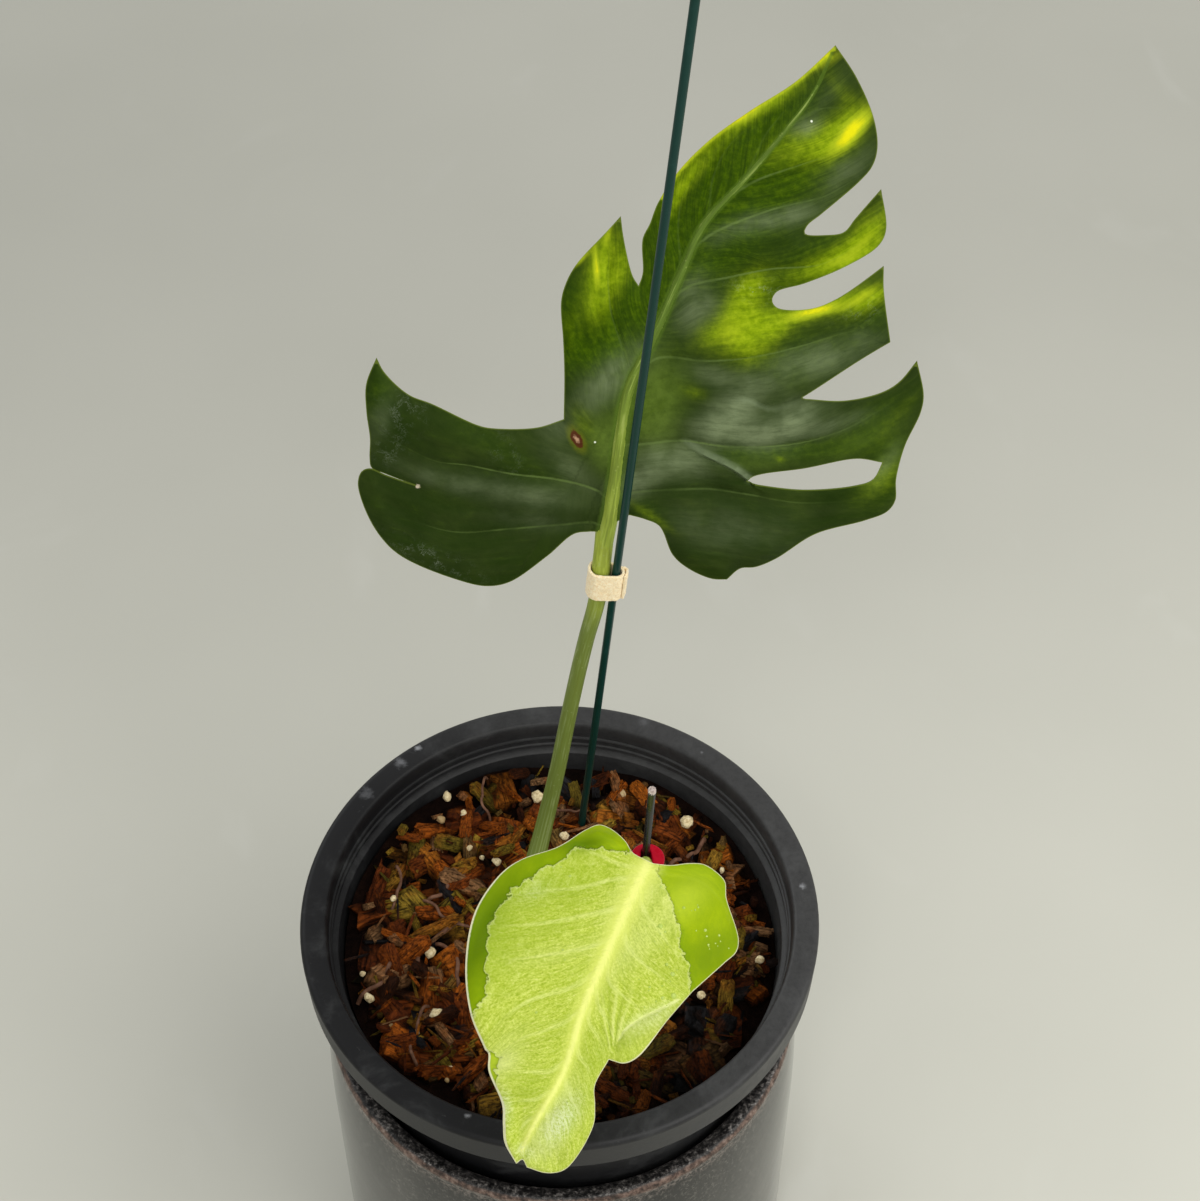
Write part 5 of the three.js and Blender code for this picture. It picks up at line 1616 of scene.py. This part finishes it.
# a loop round the pale skin, which runs out over the edge where the skin reaches it
PALE_SKIN = (
    (23, 2), (25, 6.5), (33, 15), (37.5, 22), (39, 26), (40.5, 31.5), (40.5, 36), (39, 43.5), (37.6, 48),
    (36.1, 50.5), (35.3, 54), (35.7, 59.5), (37.3, 62), (39, 64), (60, 65), (60, 70.5), (29.6, 70.9),
    (24, 71.6), (24.3, 76), (22.4, 79.5), (23.5, 82), (60, 84), (60, 130), (-60, 130), (-60, 33.5),
    (-25.5, 33.5), (-21, 25.5), (-17, 20), (-16, 16.5), (-9, 7.5), (-4.5, 2), (-2.4, -3), (2.5, -3),
    (7, -1.6), (15.5, 0.6))
# the fold along which the right edge turns up
CURL_LINE = ((-25.5, 33.6), (-18.4, 41.1), (-11.9, 47.7), (-8.8, 53.1), (-9, 61))
YOUNG_STEP = 0.65

young_outline = closed_loop(YOUNG_OUTLINE, 0.6)
young_midrib = flowing(YOUNG_MIDRIB, YOUNG_STEP)
young_veins = [flowing(vein, YOUNG_STEP) for vein in YOUNG_VEINS]
curl_line = flowing(CURL_LINE, YOUNG_STEP)
pale_loop = np.array(PALE_SKIN)
young_points, young_triangles = cut_leaf(
    young_outline, [], [young_midrib[6:-8], curl_line[3:-3]], YOUNG_STEP, np.random.default_rng(5))
print("young leaf:", len(young_points), "points,", len(young_triangles), "triangles")

# %% Measure the young leaf
# how far each of three noises wanders in mm, how fine it is, and a height that makes it its own
TEARS = ((1.3, 0.35, 1), (0.9, 0.9, 5), (0.6, 2.1, 9))


def torn(points):
    """An uneven wander of a few millimetres, which makes the edge of the pale skin look torn."""
    return np.array([sum(wide * noise.noise(Vector((x * fine, y * fine, layer)))
                         for wide, fine, layer in TEARS) for x, y in points])


young_out = rib_offset(young_points, young_midrib)
young_rib_gap, young_rib_along = distance_to(young_points, young_midrib)
young_rib_half = 2.6 - 1.9 * young_rib_along
young_vein_gap, young_vein_strength = nearest_vein(young_points, young_veins)
young_margin = distance_to(young_points, round_again(young_outline))[0]
young_flow = flow_between(young_points, young_veins, young_midrib)
skin_gap = distance_to(young_points, round_again(pale_loop))[0]
skin_gap = skin_gap * np.where(is_inside(young_points, pale_loop), 1, -1)
skin_edge = skin_gap + torn(young_points)
skin = np.clip(skin_edge / 1.4 + 0.5, 0, 1)

# %% Turn up its edge and pleat it
fold = 0.1 * (np.hypot(young_out, 5) - 5)
droop = -0.0035 * young_out ** 2
arch = 6 * (1 - ((young_points[:, 1] - 48) / 48) ** 2)
curl_gap, curl_along = distance_to(young_points, curl_line)
curl_ends = np.clip(curl_along * 6, 0, 1) * np.clip((1 - curl_along) * 5, 0, 1)
on_flap = side_of(young_points, curl_line) > 0
curl = np.where(on_flap, 1.6 * (1 - np.exp(-curl_gap / 1.2)) - 0.05 * curl_gap ** 2, 0)
curl = (curl - 0.5 * np.exp(-(curl_gap / 1.6) ** 2)) * curl_ends

# long pleats fan out from the corner where the blade turns in
PLEAT_CORNER = (-8.5, 62)
fan_off = young_points - PLEAT_CORNER
fan_reach = np.hypot(fan_off[:, 0], fan_off[:, 1])
fan_turn = np.arctan2(fan_off[:, 0], -fan_off[:, 1])
fan_share = np.exp(-((fan_turn - 0.26) / 0.42) ** 2) * np.clip(fan_reach / 5, 0, 1)
fan_share = fan_share * np.exp(-(fan_reach / 23) ** 2)
fan = np.sin(fan_turn * 29 + 0.5 * np.sin(fan_reach * 0.4)) * fan_share

# %% Bend the young leaf
YOUNG_HILLS = (
    (1, 84, 8, 5, 75, 2.6), (11, 91, 8, 2.6, 110, -1.2), (14, 95, 3, 1.5, 110, 1),
    (12, 77, 8, 3, 10, 1.1), (20, 68, 9, 3, 40, -1), (-5, 76, 6, 3, 80, 1.2), (-2, 96, 6, 3, 20, -1.3),
    (25, 56, 10, 4, 45, 1), (-26, 11, 12, 7, 60, 1.8), (-14, -1, 8, 3, 10, -0.8),
    (17, -3.5, 6, 3, 0, 2.2), (21, 1.5, 6, 1.6, 30, -1.2), (43, 34, 14, 3, 80, -1.4),
    (37, 46, 8, 3, 120, 1), (-9, 26, 10, 4, 20, -0.6), (27, 73, 4, 2, 30, -0.8),
    (30, 26, 12, 6, 30, 0.8), (15, 45, 10, 4, 30, 0.6), (14, 25, 10, 4, 30, 0.5), (-12, 40, 8, 3, 40, 0.6),
    (-6, 92, 4, 1.6, 60, 0.9), (-7.5, 85, 3, 1.5, 90, 0.8), (4, 92, 3, 1.5, 20, 0.7),
    (3, 80, 4, 1.2, 70, -0.7), (-2, 89, 3, 1, 40, 0.6), (25, 73.5, 4, 1, 10, 0.8))
young_fade = np.clip(young_margin / 3, 0, 1)
from_rib = np.clip((young_rib_gap - 1) / 4, 0, 1)
pleats = 0.1 * np.sin(young_flow * 2.6) * skin * from_rib + 0.35 * fan
quilt = 0.6 * (1 - np.exp(-young_vein_gap / 3.2)) * (1 - np.exp(-young_rib_gap / 5))
ridge = 0.55 * np.exp(-(young_rib_gap / young_rib_half) ** 2)
ridge += 0.25 * np.exp(-(young_vein_gap / 0.9) ** 2) * young_vein_strength
rolled = -0.5 * np.exp(-young_margin / 1.2)
young_surface = fold + droop + arch + (quilt + ridge + pleats + curl) * young_fade
young_surface += hills(young_points, YOUNG_HILLS) * np.clip(young_margin / 2.5, 0.25, 1)
young_surface += 0.5 * skin * np.clip(young_margin / 1.5, 0, 1) + rolled

# %% Place and thicken the young leaf
young_base = Vector((29, -30, 76))
young_along = (Vector((-3, -114, 33)) - young_base).normalized()
towards_viewer = Vector((0, -0.632, 0.775))
young_up = (towards_viewer - towards_viewer.dot(young_along) * young_along).normalized()
young_place = leaf_frame(young_base, young_along, young_up)

young_half = 0.12 + 0.22 * np.clip(young_margin / 1.2, 0, 1) ** 0.5
young_bulge = np.clip(2.4 * (1 - young_rib_along) + 0.3, 0, 3) * young_fade
young_round = np.clip(1 - (young_rib_gap / (young_rib_half * 1.1)) ** 2, 0, 1)
young_under = young_half + young_bulge * np.sqrt(young_round)

# %% Lay out the young leaf's colours
# the shapes are written as those of the tall leaf's patches are
YOUNG_PATCHES = {
    # painted gloss: pale spots painted where the light would glint on the skin's bulges
    "wax": (
        (0.5, 84, 8, 3.6, 75, 1), (31, 20, 5, 3, 45, 0.25), (-16, 45, 8, 3, 45, 0.5),
        (8, 96, 3, 2, 0, 0.6), (18, 86, 5, 2, 110, 0.8)),
    "deep": (
        (42, 38, 26, 8, 80, 1.1), (22, 1, 9, 3, 30, 1), (-29, 20, 14, 7, 60, 0.6),
        (22, 14, 12, 7, 30, 0.75), (26, 32, 12, 8, 60, 0.4), (-4, 62, 9, 4, 70, 0.35),
        (-3, 78, 7, 3, 80, 0.3), (13, 78, 8, 4, 60, 0.35), (-13, 52, 5, 1.2, 60, 0.8)),
    "milk": (
        (1, 12, 12, 5, 70, 0.9), (-4, 26, 14, 5, 60, 0.6), (24, 71, 10, 4.5, 70, 0.5),
        (-15, 6, 9, 6, 60, 0.8), (23, 73, 5, 3, 30, 0.8), (3, 78, 9, 3, 80, 0.6), (18, 36, 14, 3, 30, 0.3),
        (3, 92, 8, 5, 90, 0.6), (-14, 47, 8, 2.4, 45, 0.8)),
    "rimmed": (
        (43, 40, 26, 6, 95, 1), (32, 70, 14, 6, 125, 1.1), (20, 86, 10, 5, 115, 1.2),
        (15, 94, 6, 4, 110, 1), (-17, 56, 10, 5, 55, 0.6)),
}

# %% Build the young leaf
young_leaf, young_top, young_normals = leaf_mesh(
    "young_leaf", young_points, young_triangles, young_surface, young_half, young_under, young_place,
    {"rib": young_rib_gap / young_rib_half, "across": young_rib_gap, "gap": young_vein_gap,
     "strength": young_vein_strength, "margin": young_margin, "skin": skin_edge, "flow": young_flow,
     "fan": fan, "flap": np.where(on_flap, 1 - np.exp(-curl_gap / 1.2), 0) * curl_ends,
     "curl": curl_gap + 3 * (1 - curl_ends), **patches(young_points, YOUNG_PATCHES)})

# %% [markdown]
# Two recipes are mixed by the pale skin: bright smooth green outside it, and blotches of mint and
# lime on it. The fold on the right gets a painted highlight along its line and painted shade in the
# hollow beside it.

# %% Finish the young leaf
def pale_green():
    finish = Finish("young leaf", {"Specular Tint": (0.95, 1.0, 0.55)})
    plan = finish.stored("plan", "Vector")
    wander = finish.noise(plan, 0.06, 3)
    flow = finish.times(finish.noise(plan, 0.22, 4), 1.8, "flow")
    outward = finish.times("across", 0.22)
    streak_place = finish.node("CombineXYZ", {"X": flow, "Y": outward}).outputs[0]
    mottle = finish.noise(streak_place, 1.5, 7, 0.75)
    wide = finish.noise(streak_place, 0.4, 3, 0.6)
    speckle = finish.noise(plan, 1.3, 6, 0.75)

    # the bright green outside the pale skin
    fresh = finish.shades(wander, [(0.3, (0.26, 0.385, 0.002)), (0.7, (0.38, 0.5, 0.004))])
    fresh = finish.tint(fresh, (0.19, 0.31, 0.002), wide, 0.4, 0.6, 0.3, 0)
    fresh = finish.tint(fresh, (0.16, 0.29, 0.001), mottle, 0.4, 0.6, 0.2, 0)
    fresh = finish.mix("deep", fresh, (0.115, 0.2, 0.001))
    fresh = finish.some("milk", 0.45, fresh, (0.56, 0.68, 0.06))
    fresh = finish.some(vein_lines(finish, 0.3, 0.7), 0.2, fresh, (0.4, 0.52, 0.03))

    # the pale skin
    blotches = finish.times(speckle, 0.5, finish.times(mottle, 0.52))
    pale = finish.shades(blotches, [(0.4, (0.31, 0.43, 0.02)), (0.48, (0.47, 0.59, 0.05)),
                                    (0.56, (0.66, 0.76, 0.14)), (0.66, (0.84, 0.91, 0.31))])
    pale = finish.tint(pale, (0.34, 0.47, 0.025), wide, 0.36, 0.6, 0.3, 0)
    pale = finish.some("deep", 0.6, pale, (0.27, 0.41, 0.01))
    pale = finish.some("milk", 0.45, pale, (0.8, 0.87, 0.32))

    # its torn edge is light on the skin's side and dark beyond
    tear = finish.times(finish.noise(plan, 1.2, 5, 0.75), 2.2, -1.1)
    edge_gap = finish.sum("ADD", "skin", tear)
    on_skin = finish.between(edge_gap, -0.1, 0.2)
    base = finish.mix(on_skin, fresh, pale)
    lit_edge = finish.times(on_skin, finish.between(edge_gap, 0.9, 0.2))
    base = finish.some(lit_edge, 0.5, base, (0.76, 0.85, 0.32))
    shade = finish.times(finish.between(edge_gap, -1.8, -0.3), finish.between(edge_gap, 0, -0.2))
    base = finish.some(shade, 0.2, base, (0.09, 0.2, 0.002))

    # veins, pleats and midrib
    lines = finish.times(vein_lines(finish, 0.35, 0.9), finish.between(edge_gap, -0.5, 0.5))
    lines = finish.times(lines, finish.between(mottle, 0.35, 0.6, 0.35, 1))
    base = finish.some(lines, 0.5, base, (0.8, 0.88, 0.28))
    base = finish.some(finish.between("fan", 0.1, 0.8), 0.75, base, (0.8, 0.87, 0.26))
    # painted shade in the grooves of the pleats; the pale lines above lie on their ridges
    base = finish.some(finish.between("fan", -0.1, -0.8), 0.7, base, (0.3, 0.42, 0.02))
    fringe = finish.times(mottle, 2.4, finish.sum("ADD", "rib", -1.2))
    base = finish.tint(base, (0.8, 0.88, 0.17), fringe, 0.3, 2.8, 0.75, 0)
    base = finish.tint(base, (0.93, 0.98, 0.27), fringe, 0.1, 0.95, 1, 0)

    # painted gloss, the fold's painted highlight and painted shade, and the rim
    wax = finish.times("wax", finish.between(blotches, 0.42, 0.6, 0.1, 1.2))
    wax = finish.times(wax, on_skin)
    base = finish.some(wax, 0.75, base, (0.8, 0.88, 0.56))
    # painted shade in the hollow of the turned-up edge
    painted_hollow_shade = finish.times("flap", finish.between(speckle, 0.4, 0.6, 1, 0.4))
    base = finish.some(painted_hollow_shade, 0.55, base, (0.44, 0.53, 0.08))
    # painted highlight along the fold's line
    fold_line = finish.times(speckle, 0.6, finish.sum("ADD", "curl", -0.3))
    base = finish.tint(base, (0.86, 0.92, 0.38), fold_line, 0.2, 0.8, 0.75, 0)
    rim = finish.times(speckle, 0.5, "margin")
    rim = finish.times("rimmed", -0.42, rim)
    rim = finish.between(rim, 0.3, 0.65, 1, 0)
    base = finish.some(rim, 0.8, base, (0.84, 0.8, 0.58))

    finish.set("Base Color", finish.mix("under", base, (0.27, 0.38, 0.08)))
    finish.set("Roughness", finish.between(mottle, 0.3, 0.7, 0.33, 0.5))
    finish.set("Specular IOR Level", finish.between(edge_gap, -0.2, 0.4, 0.08, 0.2))
    relief = finish.times(mottle, 0.8, speckle)
    grainy = finish.times(relief, finish.between(edge_gap, -0.2, 0.2, 0.3, 1))
    finish.bump(grainy, 0.45, 1)
    return finish.material


finished(young_leaf, pale_green(), "leaf_pale", "new_leaf")

# %% [markdown]
# ### Dew
# A few drops of water sit on the young leaf. Each is a flattened ball that is half sunk in the
# blade, so one ball is modelled and copied. Those that the photograph shows lie at their own
# spots, and a few smaller ones are scattered round them. A drop mostly shows the leaf under it, so
# it is lime green and only a little clear, and it bends light as water does.

# %% Set the dew
# x and y on the leaf, and the radius, in mm
SEEN_DROPS = (
    (-15, 9.4, 0.55), (-23.5, 14, 0.5), (-24.2, 15.6, 0.38), (-28, 14.5, 0.4), (-10, 17.4, 0.8),
    (-11.6, 18.4, 0.45), (-15.2, 28.1, 0.5), (-17.7, 30.5, 0.75), (-20.1, 36.6, 0.9), (-17.4, 38.5, 0.6),
    (-6.4, 5.7, 0.45), (18.2, 55.2, 0.4), (17.1, 34.6, 0.45), (30, 22, 0.35), (0.6, 77.6, 0.35),
    (22, 12, 0.4), (-12.5, 36.5, 0.4), (-19, 8, 0.35), (-26, 18, 0.35))
EDGE_KEPT_DRY = 1.5


def drop_pattern():
    deselect()
    bpy.ops.mesh.primitive_uv_sphere_add(segments=16, ring_count=8, radius=1 * MM)
    bpy.ops.transform.resize(value=(1, 1, 0.6))
    settle(bpy.context.object)
    bpy.ops.object.mode_set(mode="EDIT")
    bpy.ops.mesh.quads_convert_to_tris()
    bpy.ops.object.mode_set(mode="OBJECT")
    return points_and_faces(bpy.context.object)


def drops(draw):
    """Each seen drop and two small ones near it, set on the blade's face as it stands there."""
    ball = drop_pattern()
    spots = list(SEEN_DROPS)
    for x, y, _ in SEEN_DROPS:
        for _ in range(2):
            spots.append((x + draw.uniform(-5, 5), y + draw.uniform(-5, 5), draw.uniform(0.15, 0.3)))
    placed = []
    for x, y, size in spots:
        nearest = np.argmin(np.linalg.norm(young_points - (x, y), axis=1))
        if young_margin[nearest] > EDGE_KEPT_DRY:
            turn = Vector(young_normals[nearest]).to_track_quat("Z", "Y").to_matrix().to_4x4()
            spot = Matrix.Translation(Vector(young_top[nearest]))
            stretch = Matrix.Diagonal((size, size * draw.uniform(0.8, 1.2), size, 1))
            placed.append((ball, spot @ turn @ stretch, 0))
    print("drops:", len(placed))
    return placed


dew = strewn("dew", drops(random.Random(3)))
smooth(dew, 80)


def water():
    finish = Finish("dew water", {"Roughness": 0.05, "IOR": 1.33, "Transmission Weight": 0.2})
    tint = finish.noise(finish.place(), 60, 2)
    finish.set("Base Color", finish.shades(tint, [(0.3, (0.5, 0.66, 0.1)), (0.7, (0.6, 0.74, 0.18))]))
    finish.bump(tint, 0.02)
    return finish.material


finished(dew, water(), "leaf_pale")

# %% [markdown]
# ## Stake and rod
# Both are wires with a plastic coat. The tall one is dark teal and reaches past the leaf, and the
# short one is black with a raggedly cut, bright end. Each is a cylinder at its size and place, with
# its ends bevelled. Where the measured wire begins and ends is read from the frame, because both
# are straight and lie in a plane that faces the viewer.

# %% Model the wires
STAKE_RADIUS, ROD_RADIUS = 1.5, 1.25
STAKE_SHARE = 0.88


def ends_of_wire(node, radius):
    """The two ends of a straight wire that leans only to the right, in mm."""
    low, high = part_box(node)
    depth = (low.y + high.y) / 2
    lean = math.atan2(high.x - low.x - 2 * radius * MM, high.z - low.z)
    inset = Vector((radius * MM * math.cos(lean), 0, radius * MM * math.sin(lean)))
    foot = Vector((low.x, depth, low.z)) + inset
    tip = Vector((high.x, depth, high.z)) - inset
    return foot / MM, tip / MM


def round_edges(piece, width, segments):
    """Bevels the sharp edges of a piece. width is in mm."""
    bevel = piece.modifiers.new("round edges", "BEVEL")
    bevel.width = width * MM
    bevel.segments = segments
    bevel.limit_method = "ANGLE"
    apply_all(piece)


def wire_bar(name, foot, tip, radius, sides):
    """A cylinder between two points, its ends bevelled."""
    deselect()
    run = (tip - foot) * MM
    bpy.ops.mesh.primitive_cylinder_add(
        vertices=sides, radius=radius * MM, depth=run.length, location=(foot + tip) / 2 * MM,
        rotation=run.to_track_quat("Z", "Y").to_euler())
    wire = bpy.context.object
    wire.name = name
    round_edges(wire, radius * 0.35, 3)
    settle(wire)
    return wire


# the photograph shows the stake a little thinner than it was measured
stake_foot, stake_tip = ends_of_wire("tall_stake", STAKE_RADIUS)
rod_foot, rod_tip = ends_of_wire("short_rod", ROD_RADIUS)
stake = wire_bar("teal_stake", stake_foot, stake_tip, STAKE_RADIUS * STAKE_SHARE, 24)
smooth(stake, 50)
print("stake length, mm:", round((stake_tip - stake_foot).length, 1))

# %% Cut the rod's end raggedly
CUT_LENGTH = 2
rod_way = (rod_tip - rod_foot).normalized()
rod_body = wire_bar("black_rod", rod_foot, rod_tip - rod_way * CUT_LENGTH, ROD_RADIUS, 24)
smooth(rod_body, 50)
cut_from, cut_to = rod_tip - rod_way * (CUT_LENGTH + 0.5), rod_tip - rod_way * 0.5
rod_cut = wire_bar("rod_cut_end", cut_from, cut_to, ROD_RADIUS * 0.85, 14)
bpy.ops.object.mode_set(mode="EDIT")
bpy.ops.mesh.select_all(action="SELECT")
bpy.ops.mesh.subdivide(number_cuts=2)
bpy.ops.transform.vertex_random(offset=0.34 * MM, uniform=0.6, normal=0.5, seed=9)
bpy.ops.object.mode_set(mode="OBJECT")
smooth(rod_cut, 45)

# %% Coat the wires
def wire_coat(name, dark, light, roughness, shine):
    """Plastic with lengthwise ripples, paler where it is worn, and a few chips."""
    finish = Finish(name, {"Specular IOR Level": shine})
    place = finish.place()
    ripple = finish.noise(finish.place((1, 1, 0.12)), 900, 3)
    wear = finish.between(finish.noise(place, 230, 5, 0.7), 0.55, 0.75)
    base = finish.some(wear, 0.3, dark, light)
    chips = finish.between(finish.noise(place, 700, 3, 0.6), 0.72, 0.76)
    finish.set("Base Color", finish.some(chips, 0.3, base, (0.25, 0.32, 0.3)))
    finish.set("Roughness", finish.times(wear, 0.2, roughness - 0.04))
    finish.bump(ripple, 0.05)
    return finish.material


def bright_cut():
    finish = Finish("cut wire", {"Roughness": 0.35})
    spread = finish.noise(finish.place(), 1100, 3, 0.6)
    finish.set("Base Color", finish.shades(spread, [(0.3, (0.3, 0.2, 0.17)), (0.52, (0.86, 0.76, 0.71))]))
    finish.set("Metallic", finish.between(spread, 0.4, 0.6, 0.1, 0.4))
    finish.bump(spread, 0.3)
    return finish.material


teal = wire_coat("teal coat", (0.003, 0.032, 0.025), (0.014, 0.065, 0.055), 0.34, 0.22)
finished(stake, teal, "stake_coating", "tall_stake")
black = wire_coat("black coat", (0.007, 0.008, 0.007), (0.05, 0.055, 0.05), 0.3, 0.7)
finished(rod_body, black, "rod_coating", "short_rod")
finished(rod_cut, bright_cut(), "rod_coating")

# %% [markdown]
# ## The fleecy tie
# A strip of soft cream loop tape holds the tall stalk to the stake, and its free end stands off on
# the right. The strip starts as a circle. Its right half is moved over and made smaller, so that
# it goes round the thick stalk and the thin stake alike, and the joint between is smoothed. It is
# then pulled up into a band, gets its free end, is thickened outwards and is puckered, because loop
# tape has a soft nap and never lies quite even.

# %% Wrap the tie
# in mm: its middle, how far apart stalk and stake are there, its width, its inner radii, its thickness
TIE_CENTRE = Vector((13.9, 49, 121.44 + RIM_TOP))
TIE_ACROSS_GAP = 4.98
TIE_WIDTH = 12
TIE_INNER_STALK, TIE_INNER_STAKE = 3.35, 1.85
TIE_THICK = 0.95
BAND_ROWS = 8


def beside_wire(centre, wire_foot, wire_tip, stalk_way):
    """A frame at the stalk: x points to the wire, z runs between the two directions."""
    wire_way = (wire_tip - wire_foot).normalized()
    wire = wire_foot + wire_way * ((centre.z - wire_foot.z) / wire_way.z)
    axis = (Vector(stalk_way).normalized() + wire_way).normalized()
    across = wire - centre
    across = (across - across.dot(axis) * axis).normalized()
    turn = Matrix((across, axis.cross(across), axis)).transposed().to_4x4()
    return Matrix.Translation(centre * MM) @ turn


def strap_loop(name, near, far, gap, width, sides):
    """An open band round two bars: a circle whose right half is resized and shifted. It is then
    smoothed and raised."""
    deselect()
    bpy.ops.mesh.primitive_circle_add(vertices=sides, radius=near * MM, location=(0, 0, -width / 2 * MM))
    band = bpy.context.object
    band.name = name
    settle(band)
    for corner in band.data.vertices:
        corner.select = corner.co.x > 0.05 * MM
    for edge in band.data.edges:
        edge.select = all(band.data.vertices[i].select for i in edge.vertices)
    hold(band)
    bpy.ops.object.mode_set(mode="EDIT")
    share = far / near
    bpy.ops.transform.resize(value=(share, share, 1), center_override=(0, 0, -width / 2 * MM))
    bpy.ops.transform.translate(value=(gap * MM, 0, 0))
    bpy.ops.mesh.select_all(action="SELECT")
    bpy.ops.mesh.vertices_smooth(factor=0.5, repeat=5)
    rise = (0, 0, width / BAND_ROWS * MM)
    for _ in range(BAND_ROWS):
        bpy.ops.mesh.extrude_region_move(TRANSFORM_OT_translate={"value": rise})
    face_outwards()
    bpy.ops.object.mode_set(mode="OBJECT")
    return band


tie = strap_loop("cream_tie", TIE_INNER_STALK, TIE_INNER_STAKE, TIE_ACROSS_GAP, TIE_WIDTH, 56)

# %% Add the free end
TAIL_PATH = ((5.6, 2.9), (7.2, 3.3), (8.5, 2.6), (8.9, 1.2), (8.75, -0.1), (8.6, -1.4))
TAIL_STEPS = len(TAIL_PATH) - 1

deselect()
bpy.ops.mesh.primitive_plane_add(size=1)
tail = bpy.context.object
tail.scale = (TAIL_STEPS, TIE_WIDTH * 0.92 * MM, 1)
tail.rotation_euler = (math.pi / 2, 0, 0)
settle(tail)
bpy.ops.object.mode_set(mode="EDIT")
bpy.ops.mesh.subdivide(number_cuts=TAIL_STEPS - 1)
bpy.ops.object.mode_set(mode="OBJECT")
for corner in tail.data.vertices:
    step = round(corner.co.x + TAIL_STEPS / 2)
    corner.co.x, corner.co.y = (side * MM for side in TAIL_PATH[step])
tie = join("cream_tie", [tie, tail])

# %% Thicken and pucker the tie
nap_pattern = bpy.data.textures.new("nap", "CLOUDS")
nap_pattern.noise_scale = 1.3 * MM
for label, kind, settings in (
        ("thickness", "SOLIDIFY", {"thickness": TIE_THICK * MM, "offset": 1}),
        ("soft edges", "BEVEL", {"width": 0.28 * MM, "segments": 2, "limit_method": "ANGLE"}),
        ("finer", "SUBSURF", {"levels": 2, "render_levels": 2}),
        ("nap", "DISPLACE", {"texture": nap_pattern, "texture_coords": "LOCAL", "strength": 0.3 * MM,
                             "mid_level": 0.5})):
    modifier = tie.modifiers.new(label, kind)
    for key, value in settings.items():
        setattr(modifier, key, value)
apply_all(tie)
tie.matrix_world = beside_wire(TIE_CENTRE, stake_foot, stake_tip, (0.08, 0.01, 1))
settle(tie)
smooth(tie, 70)


def fleece():
    finish = Finish("cream fleece", {"Roughness": 0.95, "Sheen Weight": 0.3, "Sheen Roughness": 0.5,
                                     "Specular IOR Level": 0.1})
    place = finish.place()
    fluff = finish.noise(place, 1500, 5, 0.75)
    soil = finish.between(finish.noise(place, 150, 4), 0.5, 0.75)
    base = finish.shades(fluff, [(0.3, (0.8, 0.58, 0.32)), (0.46, (0.93, 0.75, 0.46)),
                                 (0.62, (0.98, 0.87, 0.62))])
    finish.set("Base Color", finish.some(soil, 0.2, base, (0.7, 0.56, 0.32)))
    finish.bump(finish.times(finish.noise(place, 2600, 3), 0.5, fluff), 0.22)
    return finish.material


finished(tie, fleece(), "tie_fleece", "tie_band")

# %% [markdown]
# ## The red clip
# A thick red plastic ring clips the young stalk to the short rod. It is a short cylinder with a
# long hole through it. The hole is cut with a Boolean, and the edges are rounded by a bevel, since
# moulded plastic never has a knife edge.

# %% Model the clip
# in mm: its middle, how far apart the stalk and the rod are there, its size, the room in its hole
CLIP_CENTRE = Vector((28.68, -20.44, 59.02 + RIM_TOP))
CLIP_GAP = 4.44
CLIP_RADIUS, CLIP_HEIGHT = 5.6, 6
CLIP_ROOM = 0.35
YOUNG_STALK_THERE = 2


def clip_hole():
    """The strap's shape once more, closed at both ends, to be cut out of the clip."""
    hole = strap_loop("hole", YOUNG_STALK_THERE + CLIP_ROOM, ROD_RADIUS + CLIP_ROOM, CLIP_GAP,
                      CLIP_HEIGHT + 4, 40)
    hold(hole)
    bpy.ops.object.mode_set(mode="EDIT")
    bpy.ops.mesh.select_all(action="DESELECT")
    bpy.ops.mesh.select_non_manifold()
    bpy.ops.mesh.fill_holes(sides=0)
    face_outwards()
    bpy.ops.object.mode_set(mode="OBJECT")
    return hole


deselect()
bpy.ops.mesh.primitive_cylinder_add(
    vertices=64, radius=CLIP_RADIUS * MM, depth=CLIP_HEIGHT * MM, location=(CLIP_GAP / 2 * MM, -0.5 * MM, 0))
clip = bpy.context.object
clip.name = "red_clip"
settle(clip)
cut_away(clip, clip_hole())
round_edges(clip, 0.55, 4)
clip.matrix_world = beside_wire(CLIP_CENTRE, rod_foot, rod_tip, (0.03, -0.03, 1))
settle(clip)
smooth(clip, 40)

# %% Finish the clip
def red_plastic():
    finish = Finish("red clip plastic", {"Specular IOR Level": 0.25, "Specular Tint": (1, 0.55, 0.6)})
    place = finish.place()
    haze = finish.noise(place, 260, 4)
    finish.set("Base Color", finish.shades(haze, [(0.3, (0.4, 0, 0.012)), (0.7, (0.52, 0.002, 0.022))]))
    finish.set("Roughness", finish.between(haze, 0.3, 0.7, 0.24, 0.4))
    finish.bump(finish.noise(place, 1500, 2), 0.03)
    return finish.material


finished(clip, red_plastic(), "clip_plastic", "ring_clip")
